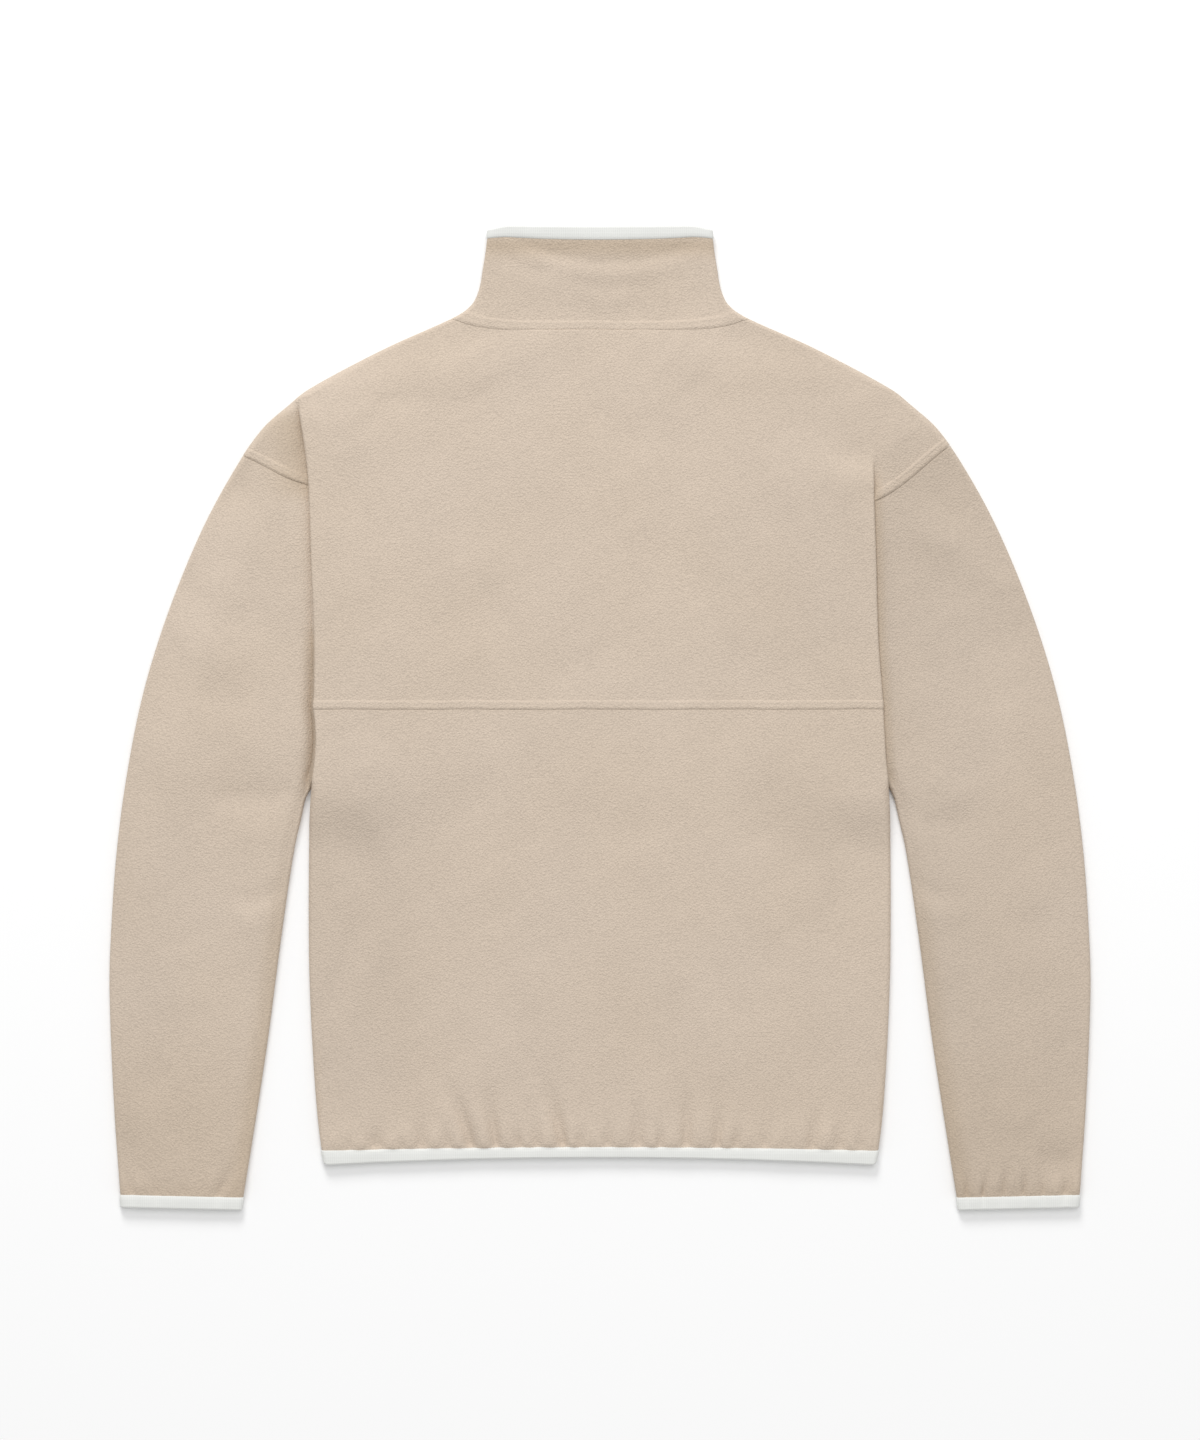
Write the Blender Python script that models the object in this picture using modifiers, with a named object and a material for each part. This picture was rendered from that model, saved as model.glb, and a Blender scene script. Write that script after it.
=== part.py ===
"""A fleece pullover, laid face down with its sleeves drawn in beside the body.

Metres, +Z up. The garment lies on the plane Z = 0 with its front against it, the collar towards +Y and
the wearer's right sleeve towards +X. The origin is on that plane, under the middle of the outline.

Each piece that is cut and sewn is one open surface, worked out row by row in the middle of the cloth's
thickness, and a Solidify modifier gives it the thickness of the cloth. Pieces stop a hair short of each
other at the seams. At each armhole the body panels fold over the sleeve: panel, flap, crease and cap are
one surface that doubles back on itself, and the sleeve runs in between the back's flap and the front's.
"""

import math
from collections import namedtuple

import bmesh
import bpy
from mathutils import Vector

LEFT, RIGHT = -1, 1
BACK, FRONT = "back", "front"

# ------------------------------------------------------------------ thicknesses
CLOTH = 0.0020  # fleece, pressed a little by its own weight
GAP = 0.0003  # air left between two pieces
RIM_GAP = 0.0008  # between the rims of front and back where their edge twists
ARMPIT_GAP = 0.0016  # and more than that at the armpit
NECK_GAP = 0.0005  # and on either side of the curved neck seam
PITCH = CLOTH + 2 * GAP  # from one layer of cloth to the next
GROUND = CLOTH / 2  # middle of a layer that lies on the ground
SLACK_LOFT = 0.0012  # extra air between front and back in the middle of the body
SEAM_LOFT = 0.0024  # the same along the side seams, over their allowances
SHOULDER_LOFT = 0.0016  # the same along the shoulders and the collar's sides
SLEEVE_LOFT = 0.0016  # the same at a sleeve's edges
SLEEVE_CROWN = 0.0012  # and what its middle adds to that
BAND = 0.0085  # width of a seam allowance that is stitched down flat
BAND_RELIEF = 0.0007  # how far it lifts the cloth
BAND_SLOPE = 0.0008  # over this distance
TRIM = 0.0008  # wall of the elastic binding
TRIM_TURN = 0.0012  # how far the binding's fold stands past the cloth's edge
HEM_TRIM, CUFF_TRIM, COLLAR_TRIM = 0.0120, 0.0105, 0.0083  # height of each binding
TRIM_PAST = TRIM_TURN + TRIM / 2
BOUND_LOWER = TRIM + GAP + CLOTH / 2  # middle of the lower layer where it is bound
BOUND_UPPER = BOUND_LOWER + 2 * (BOUND_LOWER + 0.00025)  # and of the upper layer
BOUND_HOLD = 0.0125  # a layer keeps its bound level this far from its edge
BOUND_RUN = 0.030  # and climbs to it over this distance
COLLAR_RUN = 0.056  # the same in the collar

# ------------------------------------------------------------------ outline
Outer = namedtuple("Outer", "y half")
# The outside edge, from the collar's foot along the shoulder and down the sleeve.
OUTER_EDGE = [
    Outer(0.3220, 0.1212),
    Outer(0.3181, 0.1296),
    Outer(0.2981, 0.1742),
    Outer(0.2657, 0.2347),
    Outer(0.2520, 0.2522),
    Outer(0.2333, 0.2730),
    Outer(0.2009, 0.2957),
    Outer(0.1523, 0.3220),
    Outer(0.0875, 0.3487),
    Outer(0.0227, 0.3690),
    Outer(-0.0421, 0.3823),
    Outer(-0.1069, 0.3910),
    Outer(-0.1717, 0.3956),
    Outer(-0.2203, 0.3969),
    Outer(-0.3175, 0.3930),
    Outer(-0.3970, 0.3872),
]
Side = namedtuple("Side", "y left right")
# The body's own edge: the fold over the sleeve down to the armpit, then the side seam.
SIDE_EDGE = [
    Side(0.2657, 0.2465, 0.2347),
    Side(0.2250, 0.2421, 0.2240),
    Side(0.1930, 0.2390, 0.2217),
    Side(0.1280, 0.2357, 0.2234),
    Side(0.0630, 0.2333, 0.2252),
    Side(0.0105, 0.2333, 0.2291),
    Side(-0.0180, 0.2317, 0.2308),
    Side(-0.0500, 0.2341, 0.2338),
    Side(-0.0850, 0.2353, 0.2347),
    Side(-0.1880, 0.2355, 0.2350),
    Side(-0.2530, 0.2333, 0.2330),
    Side(-0.3175, 0.2290, 0.2290),
    Side(-0.3620, 0.2236, 0.2236),
]
Inner = namedtuple("Inner", "y left right")
# The sleeve's inside edge: hidden between the body's layers down to the armpit, then open.
INNER_EDGE = [
    Inner(0.1725, 0.2066, 0.2000),
    Inner(0.1565, 0.2048, 0.1932),
    Inner(0.1118, 0.2025, 0.1940),
    Inner(0.0551, 0.2035, 0.1975),
    Inner(0.0100, 0.2120, 0.2090),
    Inner(-0.0200, 0.2245, 0.2240),
    Inner(-0.0340, 0.2348, 0.2346),
    Inner(-0.0560, 0.2362, 0.2362),
    Inner(-0.0745, 0.2398, 0.2398),
    Inner(-0.1069, 0.2475, 0.2475),
    Inner(-0.1717, 0.2572, 0.2572),
    Inner(-0.2689, 0.2701, 0.2701),
    Inner(-0.3980, 0.2902, 0.2902),
]
Neck = namedtuple("Neck", "y half")
# The collar's side edges, from the neck seam up.
COLLAR_EDGE = [
    Neck(0.3220, 0.1212),
    Neck(0.3262, 0.1134),
    Neck(0.3304, 0.1076),
    Neck(0.3366, 0.1020),
    Neck(0.3483, 0.0974),
    Neck(0.3629, 0.0949),
    Neck(0.3791, 0.0923),
    Neck(0.3967, 0.0906),
]

# ------------------------------------------------------------------ rows of the body panels
Anchor = namedtuple("Anchor", "left right")
NECK = Anchor(0.3220, 0.3220)
APEX = Anchor(0.2592, 0.2657)  # where the fold starts, on the shoulder
ARMHOLE = Anchor(0.1877, 0.1740)  # where the armhole seam goes in under the fold
YOKE = Anchor(0.0080, 0.0070)  # seam between the back yoke and the lower back
YOKE_BAND = Anchor(YOKE.left + BAND, YOKE.right + BAND)
CLOSING = Anchor(-0.0360, -0.0360)  # the fold's last full row
ARMPIT = Anchor(-0.0500, -0.0500)
SUNK = Anchor(-0.1000, -0.1000)  # from here down the body is two layers
GATHERS = Anchor(-0.2700, -0.2700)  # the hem's gathers start below here
HEM = Anchor(-0.3617 + TRIM_PAST, -0.3617 + TRIM_PAST)
HEM_FOOT = Anchor(HEM.left + HEM_TRIM - TRIM_PAST, HEM.right + HEM_TRIM - TRIM_PAST)
HEM_ARCH = 0.0060  # the hem's middle stands this far above its ends
BACK_NECK_DROP, FRONT_NECK_DROP = 0.0083, 0.0500
BACK_NECK_SQUARE = 6  # the back neck drops near its ends and is almost straight between
BACK_TOP_DROP, FRONT_TOP_DROP = 0.0008, 0.0370  # the same at the collar's bound edge
BACK_NECK_FADE, FRONT_NECK_FADE = 0.2200, 0.1500  # rows are straight below these heights
ARMHOLE_TOP = Anchor(0.2120, 0.2203)  # where the armhole seam meets the outline

# The fold opens from nothing at START to a flat double turn at FULL.
FOLD_START = Anchor(0.2592, 0.2580)
FOLD_FULL = Anchor(0.2200, 0.2100)
FLAP_START = Anchor(0.2330, 0.2250)  # where it starts to reach in under itself
FLAP_DEPTH = 0.0300  # how far the fold reaches in, at the armhole seam
FLAP_END_DEPTH = 0.0060  # and at its last full row
TUCK_HOLD, TUCK_FALL = 0.0400, 0.0750  # the back stays up over the tuck, then falls
SEAM_HOLD, SEAM_FALL = 0.0060, 0.0300  # the same beside the side seams
TUCK_END = 0.0500  # the stack sinks to two layers over this length below the armpit
UNDER_HOLD, UNDER_RUN = 0.0020, 0.0250  # a layer keeps its height this far outside the fold, then comes down

# ------------------------------------------------------------------ gathers
Gather = namedtuple("Gather", "x reach lean depth")
# Troughs above the hem's elastic, seen from the back: lean is where the top goes sideways.
HEM_GATHERS = [
    Gather(-0.1814, 0.030, 0.000, 0.0011),
    Gather(-0.1442, 0.034, 0.000, 0.0008),
    Gather(-0.1231, 0.030, 0.000, 0.0007),
    Gather(-0.1053, 0.060, -0.016, 0.0012),
    Gather(-0.0851, 0.042, -0.004, 0.0012),
    Gather(-0.0650, 0.070, -0.024, 0.0008),
    Gather(-0.0486, 0.026, 0.000, 0.0007),
    Gather(-0.0308, 0.080, -0.024, 0.0012),
    Gather(-0.0130, 0.024, 0.000, 0.0008),
    Gather(0.0065, 0.032, 0.000, 0.0008),
    Gather(0.0292, 0.060, -0.003, 0.0009),
    Gather(0.0486, 0.028, 0.002, 0.0012),
    Gather(0.0697, 0.075, 0.000, 0.0009),
    Gather(0.0940, 0.055, 0.012, 0.0011),
    Gather(0.1134, 0.055, 0.004, 0.0008),
    Gather(0.1328, 0.040, 0.010, 0.0007),
    Gather(0.1701, 0.050, 0.014, 0.0011),
    Gather(0.1928, 0.044, 0.002, 0.0008),
]
Pucker = namedtuple("Pucker", "share reach depth")
# Puckers above each cuff's elastic; share runs from the sleeve's outside edge to its inside one.
CUFF_PUCKERS = {
    LEFT: [Pucker(0.14, 0.030, 0.0005), Pucker(0.38, 0.024, 0.0004), Pucker(0.66, 0.028, 0.0005)],
    RIGHT: [
        Pucker(0.16, 0.020, 0.0009),
        Pucker(0.34, 0.034, 0.0009),
        Pucker(0.52, 0.028, 0.0010),
        Pucker(0.72, 0.026, 0.0009),
    ],
}
GATHER_PEAK = 0.35  # a gather is deepest this far up its reach
GATHER_WIDTH = 0.0085  # half width of a trough

Section = namedtuple("Section", "outer_y inner_y")
# Where each section of a sleeve meets the two edges, from the armhole seam to the cuff.
SLEEVE_SECTIONS = [
    Section(0.1850, 0.1380),
    Section(0.1450, 0.0960),
    Section(0.1000, 0.0500),
    Section(0.0600, 0.0100),
    Section(0.0300, -0.0180),
    Section(0.0100, -0.0340),
    Section(-0.0150, -0.0560),
    Section(-0.0450, -0.0800),
    Section(-0.0950, -0.1230),
    Section(-0.1550, -0.1760),
    Section(-0.2150, -0.2300),
    Section(-0.2700, -0.2810),
    Section(-0.3150, -0.3230),
    Section(-0.3450, -0.3510),
    Section(-0.3660, -0.3690),
]
CUFF_END = Section(-0.3961 + TRIM_PAST, -0.3982 + TRIM_PAST)
CUFF_FOOT = Section(CUFF_END.outer_y + CUFF_TRIM - TRIM_PAST, CUFF_END.inner_y + CUFF_TRIM - TRIM_PAST)
ARMHOLE_REACH = 0.0330  # how far in past the fold the hidden end of the armhole seam lies

# ------------------------------------------------------------------ mesh density
FLAT_COLUMNS = 14  # across the yoke
FRONT_COLUMNS = 18  # across the front
ROLL_STEPS = 2  # corners in a quarter round
TURN_STEPS = 5  # in a fold's half turn that shows
CREASE_STEPS = 4  # in one that is hidden
YOKE_STEPS = dict(shoulder=4, cap=8, side=5)
LOWER_STEPS = dict(tuck=2, sink=3, side=3, gathers=5)
FRONT_STEPS = dict(shoulder=4, cap=8, side=4, tuck=2, sink=3, body=3, gathers=3)
SLEEVE_OUT_STEPS, SLEEVE_RUN_STEPS, SLEEVE_IN_STEPS = 4, 3, 2
HEM_TRIM_COLUMNS = 18

FLEECE_COLOUR = (0.66, 0.56, 0.45)
TRIM_COLOUR = (0.86, 0.86, 0.82)


# ------------------------------------------------------------------ small tools
def smooth(table, column, at):
    """The value of a column at height `at`, on a smooth curve through the table's rows."""
    rows = sorted(table, key=lambda row: row.y)
    ys = [row.y for row in rows]
    values = [getattr(row, column) for row in rows]
    last = len(rows) - 1
    at = min(max(at, ys[0]), ys[last])
    i = min(max(sum(y <= at for y in ys) - 1, 0), last - 1)

    def slope(k):
        low, high = max(k - 1, 0), min(k + 1, last)
        return (values[high] - values[low]) / (ys[high] - ys[low])

    step = ys[i + 1] - ys[i]
    t = (at - ys[i]) / step
    return (
        (1 + 2 * t) * (1 - t) ** 2 * values[i]
        + t * (1 - t) ** 2 * step * slope(i)
        + t * t * (3 - 2 * t) * values[i + 1]
        - t * t * (1 - t) * step * slope(i + 1)
    )


def ease(t):
    """0 up to t = 0, 1 from t = 1 on, and a smooth rise between."""
    t = min(max(t, 0.0), 1.0)
    return t * t * (3 - 2 * t)


def bulge(fraction, power=2):
    """1 in the middle of a span and 0 at its ends."""
    return 1 - abs(2 * fraction - 1) ** power


def mix(a, b, t):
    return a + (b - a) * t


def spread(start, end, steps):
    return [mix(start, end, k / steps) for k in range(steps + 1)]


def quarter(steps):
    """A quarter round as (out, back) shares: its first piece runs straight out, its last straight back."""
    step = math.pi / 2 / steps
    shares = [(math.sin((k + 0.5) * step), math.cos((k + 0.5) * step)) for k in range(steps)]
    shares = [(a / math.cos(step / 2), b / math.cos(step / 2)) for a, b in shares]
    return [(0.0, 1.0), *shares, (1.0, 0.0)]


def half_round(steps):
    """A half round as (out, back) shares, from straight out to straight back the other way."""
    first = quarter(steps)
    return first[:-1] + [(out, -back) for out, back in first[-2::-1]]


def of(pair, side):
    """The left or right value of a row or an anchor."""
    return pair.left if side == LEFT else pair.right


def column_of(side):
    return "left" if side == LEFT else "right"


# ------------------------------------------------------------------ the stack at a body's edge
def outer_half(y):
    return smooth(OUTER_EDGE, "half", y) - CLOTH / 2


def side_half(side, y):
    return smooth(SIDE_EDGE, column_of(side), y) - CLOTH / 2


def body_half(side, y):
    """Half width of the body panels, to the middle of the cloth."""
    return outer_half(y) if y >= of(APEX, side) - 1e-6 else side_half(side, y)


def fold_angle(side, y):
    """How far the panel turns as it goes over its folded edge: pi when it lies flat under itself."""
    start, full = of(FOLD_START, side), of(FOLD_FULL, side)
    return math.pi * ease((start - y) / (start - full))


def fold_radius(angle):
    return PITCH / 2 / math.sin(max(angle, 0.02) / 2)


def fold_depth(side, y):
    """How far the flap reaches in under the fold."""
    start, armhole = of(FLAP_START, side), of(ARMHOLE, side)
    if y > armhole:
        return FLAP_DEPTH * max(start - y, 0) / (start - armhole)
    return mix(FLAP_DEPTH, FLAP_END_DEPTH, (armhole - y) / (armhole - CLOSING.left))


def fold_drop(side, y):
    """How far down the fold's two turns and its flap take the panel."""
    angle = fold_angle(side, y)
    return 2 * fold_radius(angle) * (1 - math.cos(angle)) + fold_depth(side, y) * math.sin(angle)


def tuck(side, y):
    """0 where two layers lie on each other, 1 where the fold makes them six."""
    if y < ARMPIT.left:
        return 1 - ease((ARMPIT.left - y) / TUCK_END)
    return fold_drop(side, y) / (2 * PITCH)


def rim_gap(side, y):
    """The air between the front's rim and the back's, wider where the edge twists."""
    twisted = ease((of(APEX, side) + 0.015 - y) / 0.015) * ease((y - ARMPIT.left + 2 * TUCK_END) / TUCK_END)
    armpit = 1 - ease(abs(y - ARMPIT.left) / 0.015)
    return mix(GAP, RIM_GAP, twisted) + ARMPIT_GAP * armpit


def bound(distance, run=BOUND_RUN):
    """1 in a binding, 0 where the cloth no longer climbs into it; distance is from the cloth's edge."""
    return 1 - ease((distance - BOUND_HOLD) / run)


def edge_levels(side, y):
    """Middle of the front and of the back panel at the body's edge."""
    fold = tuck(side, y)
    loft = mix(SHOULDER_LOFT, SEAM_LOFT, ease((APEX.left - y) / (APEX.left - ARMPIT.left)))
    lower = GROUND
    upper = GROUND + PITCH + loft * (1 - fold) + 4 * PITCH * fold
    hem = bound(y - HEM.left)
    return mix(lower, BOUND_LOWER, hem), mix(upper, BOUND_UPPER, hem)


def under_levels(side, x, y, crown, run=UNDER_RUN, fold_y=None):
    """Middle of the lower and upper layer of what comes out from under the fold: cap or sleeve."""
    fold_y = y if fold_y is None else fold_y
    lower_in, upper_in = edge_levels(side, fold_y)
    drop = 2 * PITCH * tuck(side, fold_y)
    out = ease((side * x - side_half(side, fold_y) - UNDER_HOLD) / run)
    upper_out = GROUND + PITCH + SLEEVE_LOFT + SLEEVE_CROWN * math.sin(math.pi * crown)
    return mix(lower_in + drop, GROUND, out), mix(upper_in - drop, upper_out, out)


# ------------------------------------------------------------------ one row of a body panel
class Row:
    """One row of the front or the back, from edge to edge."""

    def __init__(self, panel, left, right, fractions, relief=0.0, folded=False, gathered=False):
        self.panel, self.fractions, self.relief = panel, fractions, relief
        self.y = {LEFT: left, RIGHT: right}
        self.folded, self.gathered = folded, gathered

    def edge_level(self, side):
        lower, upper = edge_levels(side, self.y[side])
        return upper if self.panel == BACK else lower

    def inset(self, side):
        """How far in from its outermost point the row starts to turn."""
        y = self.y[side]
        if self.folded:
            angle = fold_angle(side, y)
            return fold_radius(angle) * math.sin(min(angle, math.pi / 2))
        lower, upper = edge_levels(side, y)
        step = 0.002
        lean = (body_half(side, y - step) - body_half(side, y)) / step
        slanted = y > of(APEX, side) - 1e-6
        return (upper - lower) / 2 * (math.hypot(1, lean) if slanted else 1)

    def start(self, side):
        """Where the flat part of the row ends and its edge begins."""
        return side * (body_half(side, self.y[side]) - self.inset(side)), self.y[side]

    def middle_level(self):
        if self.panel == FRONT:
            return GROUND
        return GROUND + PITCH + SLACK_LOFT

    def level(self, x, fraction):
        """Height of the flat part: held up beside each edge, slack in the middle."""
        y = mix(self.y[LEFT], self.y[RIGHT], fraction)
        hem = bound(y - HEM.left)
        bound_level = BOUND_LOWER if self.panel == FRONT else BOUND_UPPER
        middle = mix(self.middle_level(), bound_level, hem)
        below = ease((ARMPIT.left - y) / TUCK_END)
        hold, fall = mix(TUCK_HOLD, SEAM_HOLD, below), mix(TUCK_FALL, SEAM_FALL, below)
        z = middle
        for side in (LEFT, RIGHT):
            inside = body_half(side, self.y[side]) - side * x
            z += (self.edge_level(side) - middle) * (1 - ease((inside - hold) / fall))
        return z

    def bow(self, fraction):
        """How far the row stands above the straight line between its ends."""
        y = self.y[LEFT]
        hem = HEM_ARCH * ease((GATHERS.left - y) / (GATHERS.left - HEM.left)) * bulge(fraction)
        if self.panel == FRONT:
            top = max(y - FRONT_NECK_FADE, 0) / (NECK.left - FRONT_NECK_FADE)
            return hem - FRONT_NECK_DROP * top * bulge(fraction)
        top = max(y - BACK_NECK_FADE, 0) / (NECK.left - BACK_NECK_FADE)
        return hem - BACK_NECK_DROP * top * bulge(fraction, BACK_NECK_SQUARE)

    def flat(self):
        """The row's points between its two edges."""
        (left, _), (right, _) = self.start(LEFT), self.start(RIGHT)
        points = []
        for fraction in self.fractions:
            x = mix(left, right, fraction)
            z = self.level(x, fraction)
            row_y = mix(self.y[LEFT], self.y[RIGHT], fraction)
            y = row_y + self.bow(fraction)
            if self.gathered:
                x, z = gathered(self.panel, x, row_y, z, ease(min(fraction, 1 - fraction) / 0.05))
            lift = self.relief / 2
            points.append((x, y, z + lift, self.relief))
        return points

    def roll(self, side):
        """A quarter round from the flat part to the seam with the other panel."""
        x, y = self.start(side)
        lower, upper = edge_levels(side, y)
        wide, high = self.inset(side), (upper - lower - rim_gap(side, y)) / 2
        down = -1 if self.panel == BACK else 1
        level = self.edge_level(side)
        return [
            (
                x + side * wide * out,
                y,
                level + self.relief / 2 * back + down * high * (1 - back),
                self.relief,
            )
            for out, back in quarter(ROLL_STEPS)
        ]


def gathered(panel, x, y, z, share):
    """A point of the body's lower part, moved a share of the way by the gathers above the hem."""
    side = 1 if panel == BACK else -1
    shift = dip = 0.0
    for gather in HEM_GATHERS:
        up = (y - HEM_FOOT.left) / gather.reach
        if not 0 < up < 1:
            continue
        strength = ease(up / GATHER_PEAK) * (1 - ease((up - GATHER_PEAK) / (1 - GATHER_PEAK)))
        near = math.exp(-(((side * x - gather.x) / (2 * GATHER_WIDTH)) ** 2))
        shift += side * gather.lean * up * near
        dip += gather.depth * strength * (2 * math.exp(-(((side * x - gather.x) / GATHER_WIDTH) ** 2)) - 1) * near
    if panel == BACK:
        return x + shift * share, z - dip * share
    return x + shift * share, z + max(-dip, 0) * 0.6 * share


# ------------------------------------------------------------------ the fold over the sleeve
def fold_turns(side, y):
    """The fold's path as (outwards, down) steps: first half turn, flap, and second half turn."""
    angle = fold_angle(side, y)
    radius, depth = fold_radius(angle), fold_depth(side, y)
    step = 0.002
    # The hidden crease runs at a slant, so along the row its turn is wider than it is high.
    slant = (fold_depth(side, y - step) - fold_depth(side, y)) / step if y > of(ARMHOLE, side) - step else 0.0
    wide = radius * math.hypot(1, slant)
    first = [(radius * math.sin(a), radius * (1 - math.cos(a))) for a in spread(0, angle, TURN_STEPS)]
    out, down = first[-1]
    out, down = out + depth * math.cos(angle), down + depth * math.sin(angle)
    second = [
        (out + wide * (math.sin(angle) - math.sin(a)), down + radius * (math.cos(a) - math.cos(angle)))
        for a in spread(angle, 0, CREASE_STEPS)
    ]
    return first, second


def at_distance(start, direction, out):
    return start[0] + direction[0] * out, start[1] + direction[1] * out


def cap_row(row, side, share):
    """A row beyond the fold, out to the shoulder's edge: share runs from the apex to the armhole seam."""
    start = row.start(side)
    y_out = mix(of(APEX, side), of(ARMHOLE_TOP, side), share)
    target = (side * outer_half(y_out), y_out)
    length = math.dist(start, target)
    direction = ((target[0] - start[0]) / length, (target[1] - start[1]) / length)
    level = row.edge_level(side)
    down = -1 if row.panel == BACK else 1
    first, second = fold_turns(side, row.y[side])
    points = [(*at_distance(start, direction, out), level + down * d, 0.0) for out, d in first + second]

    run = min(UNDER_RUN, 0.6 * length)
    landed = second[-1][0]
    edge = fold_radius(math.pi)
    low_end, high_end = cap_levels(row, side, target, 0.0, run)
    radius = (high_end - low_end) / 2
    stops = [edge, mix(edge, run, 0.35), mix(edge, run, 0.7), run, mix(run, length - radius, 0.5)]
    stops = [out for out in stops if landed + 0.0015 < out < length - radius - 0.002]
    stops += [length - radius] * (6 - len(stops))
    seam_band = BAND_RELIEF if share > 0.999 and row.panel == BACK else 0.0
    for out in stops:
        place = at_distance(start, direction, out)
        crown = (length - out) / (length + FLAP_DEPTH)
        lower, upper = cap_levels(row, side, place, crown, run)
        band = seam_band * ease((out - PITCH) / PITCH)
        points.append((*place, (upper if row.panel == BACK else lower) + band / 2, band))
    level = points[-1][2] - band / 2
    high = radius - rim_gap(side, target[1]) / 2
    for out, back in quarter(ROLL_STEPS)[1:]:
        place = at_distance(start, direction, length - radius + radius * out)
        points.append((*place, level + down * high * (1 - back) + band / 2 * back, band))
    return points


def cap_levels(row, side, place, crown, run):
    return under_levels(side, place[0], place[1], crown, run, fold_y=row.y[side])


def flap_row(row, side):
    """A row beyond the fold, to the flap's hidden end."""
    start = row.start(side)
    direction = seam_direction(side)
    level = row.edge_level(side)
    down = -1 if row.panel == BACK else 1
    first, second = fold_turns(side, row.y[side])
    closing = max(row.y[side] - CLOSING.left, 0) / (of(ARMHOLE, side) - CLOSING.left)
    tilted = (direction[0], direction[1] * closing)
    points = []
    for k, (out, drop) in enumerate(first + second[:1]):
        angle = math.pi * min(k / TURN_STEPS, 1)
        band = row.relief * max(math.cos(angle), 0)
        place = at_distance(start, tilted, out + band / 2 * math.sin(angle))
        points.append((*place, level + down * drop + band / 2 * math.cos(angle), band))
    return points


def seam_direction(side):
    """The armhole seam's direction, outwards."""
    y, y_out = of(ARMHOLE, side), of(ARMHOLE_TOP, side)
    x, x_out = side * (side_half(side, y) - PITCH / 2), side * outer_half(y_out)
    length = math.dist((x, y), (x_out, y_out))
    return (x_out - x) / length, (y_out - y) / length


def unopened(row, side, count):
    """The row where the fold starts: its points are all at the start of the quarter round."""
    points = row.roll(side)
    return [points[0]] * (count - len(points)) + points


def closed(row, side, count):
    """The row where the fold has ended: its quarter round, and then that round's end again."""
    points = row.roll(side)
    return points + [points[-1]] * (count - len(points))


# ------------------------------------------------------------------ building pieces
def add_grid(bm, rows, flip=False):
    """Faces between neighbouring rows of points."""
    thickness = bm.verts.layers.deform.verify()
    made = []
    for row in rows:
        line = []
        for x, y, z, relief in row:
            vert = bm.verts.new((x, y, z))
            vert[thickness][0] = (CLOTH + relief) / (CLOTH + BAND_RELIEF)
            line.append(vert)
        made.append(line)
    for above, below in zip(made, made[1:]):
        for k in range(len(above) - 1):
            corners = [above[k], below[k], below[k + 1], above[k + 1]]
            bm.faces.new(reversed(corners) if flip else corners)


def finish_piece(name, bm, thickness, material, varied=False):
    """Joins a piece's patches into one open surface and gives it its thickness."""
    bmesh.ops.remove_doubles(bm, verts=bm.verts, dist=1e-6)
    bmesh.ops.dissolve_degenerate(bm, edges=bm.edges, dist=1e-6)
    mesh = bpy.data.meshes.new(name)
    bm.to_mesh(mesh)
    bm.free()
    mesh.shade_smooth()
    mesh.materials.append(material)
    piece = bpy.data.objects.new(name, mesh)
    bpy.data.collections["fleece_pullover"].objects.link(piece)
    solid = piece.modifiers.new("thickness", "SOLIDIFY")
    solid.thickness = thickness
    solid.offset = 0.0
    solid.use_quality_normals = True
    if varied:
        solid.thickness = CLOTH + BAND_RELIEF
        piece.vertex_groups.new(name="thickness")
        solid.vertex_group = "thickness"
    return piece


def rows_between(panel, start, end, steps, fractions, skip_first=True, **options):
    """Rows of a panel from one anchor to the next."""
    first = 1 if skip_first else 0
    return [
        Row(panel, mix(start.left, end.left, k / steps), mix(start.right, end.right, k / steps), fractions, **options)
        for k in range(first, steps + 1)
    ]


def build_panel(name, panel, rows, apex, armhole, closing, material, flip):
    """A body panel: its flat part, its edges, and its folds over the sleeves.

    apex, armhole and closing are the indexes of those rows, or None where the panel doesn't reach them.
    """
    bm = bmesh.new()
    folds = any(row.folded for row in rows)
    for k, row in enumerate(rows):
        row.flat_points = row.flat()
    add_grid(bm, [row.flat_points for row in rows], flip)
    for side in (LEFT, RIGHT):
        turned = flip if side == RIGHT else not flip
        plain = []
        for k, row in enumerate(rows):
            if row.folded:
                if len(plain) > 1:
                    add_grid(bm, plain, turned)
                plain = []
            else:
                plain.append(row.roll(side))
        if len(plain) > 1:
            add_grid(bm, plain, turned)
        if not folds:
            continue
        if apex is not None:
            caps = [cap_row(rows[k], side, (k - apex) / (armhole - apex)) for k in range(apex + 1, armhole + 1)]
            caps.insert(0, unopened(rows[apex], side, len(caps[0])))
            add_grid(bm, caps, turned)
        first = armhole if armhole is not None else 0
        last = closing if closing is not None else len(rows) - 1
        flaps = [flap_row(rows[k], side) for k in range(first, last + 1)]
        if closing is not None:
            flaps.append(closed(rows[closing + 1], side, len(flaps[0])))
        add_grid(bm, flaps, turned)
    return finish_piece(name, bm, CLOTH, material, varied=True)


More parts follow.
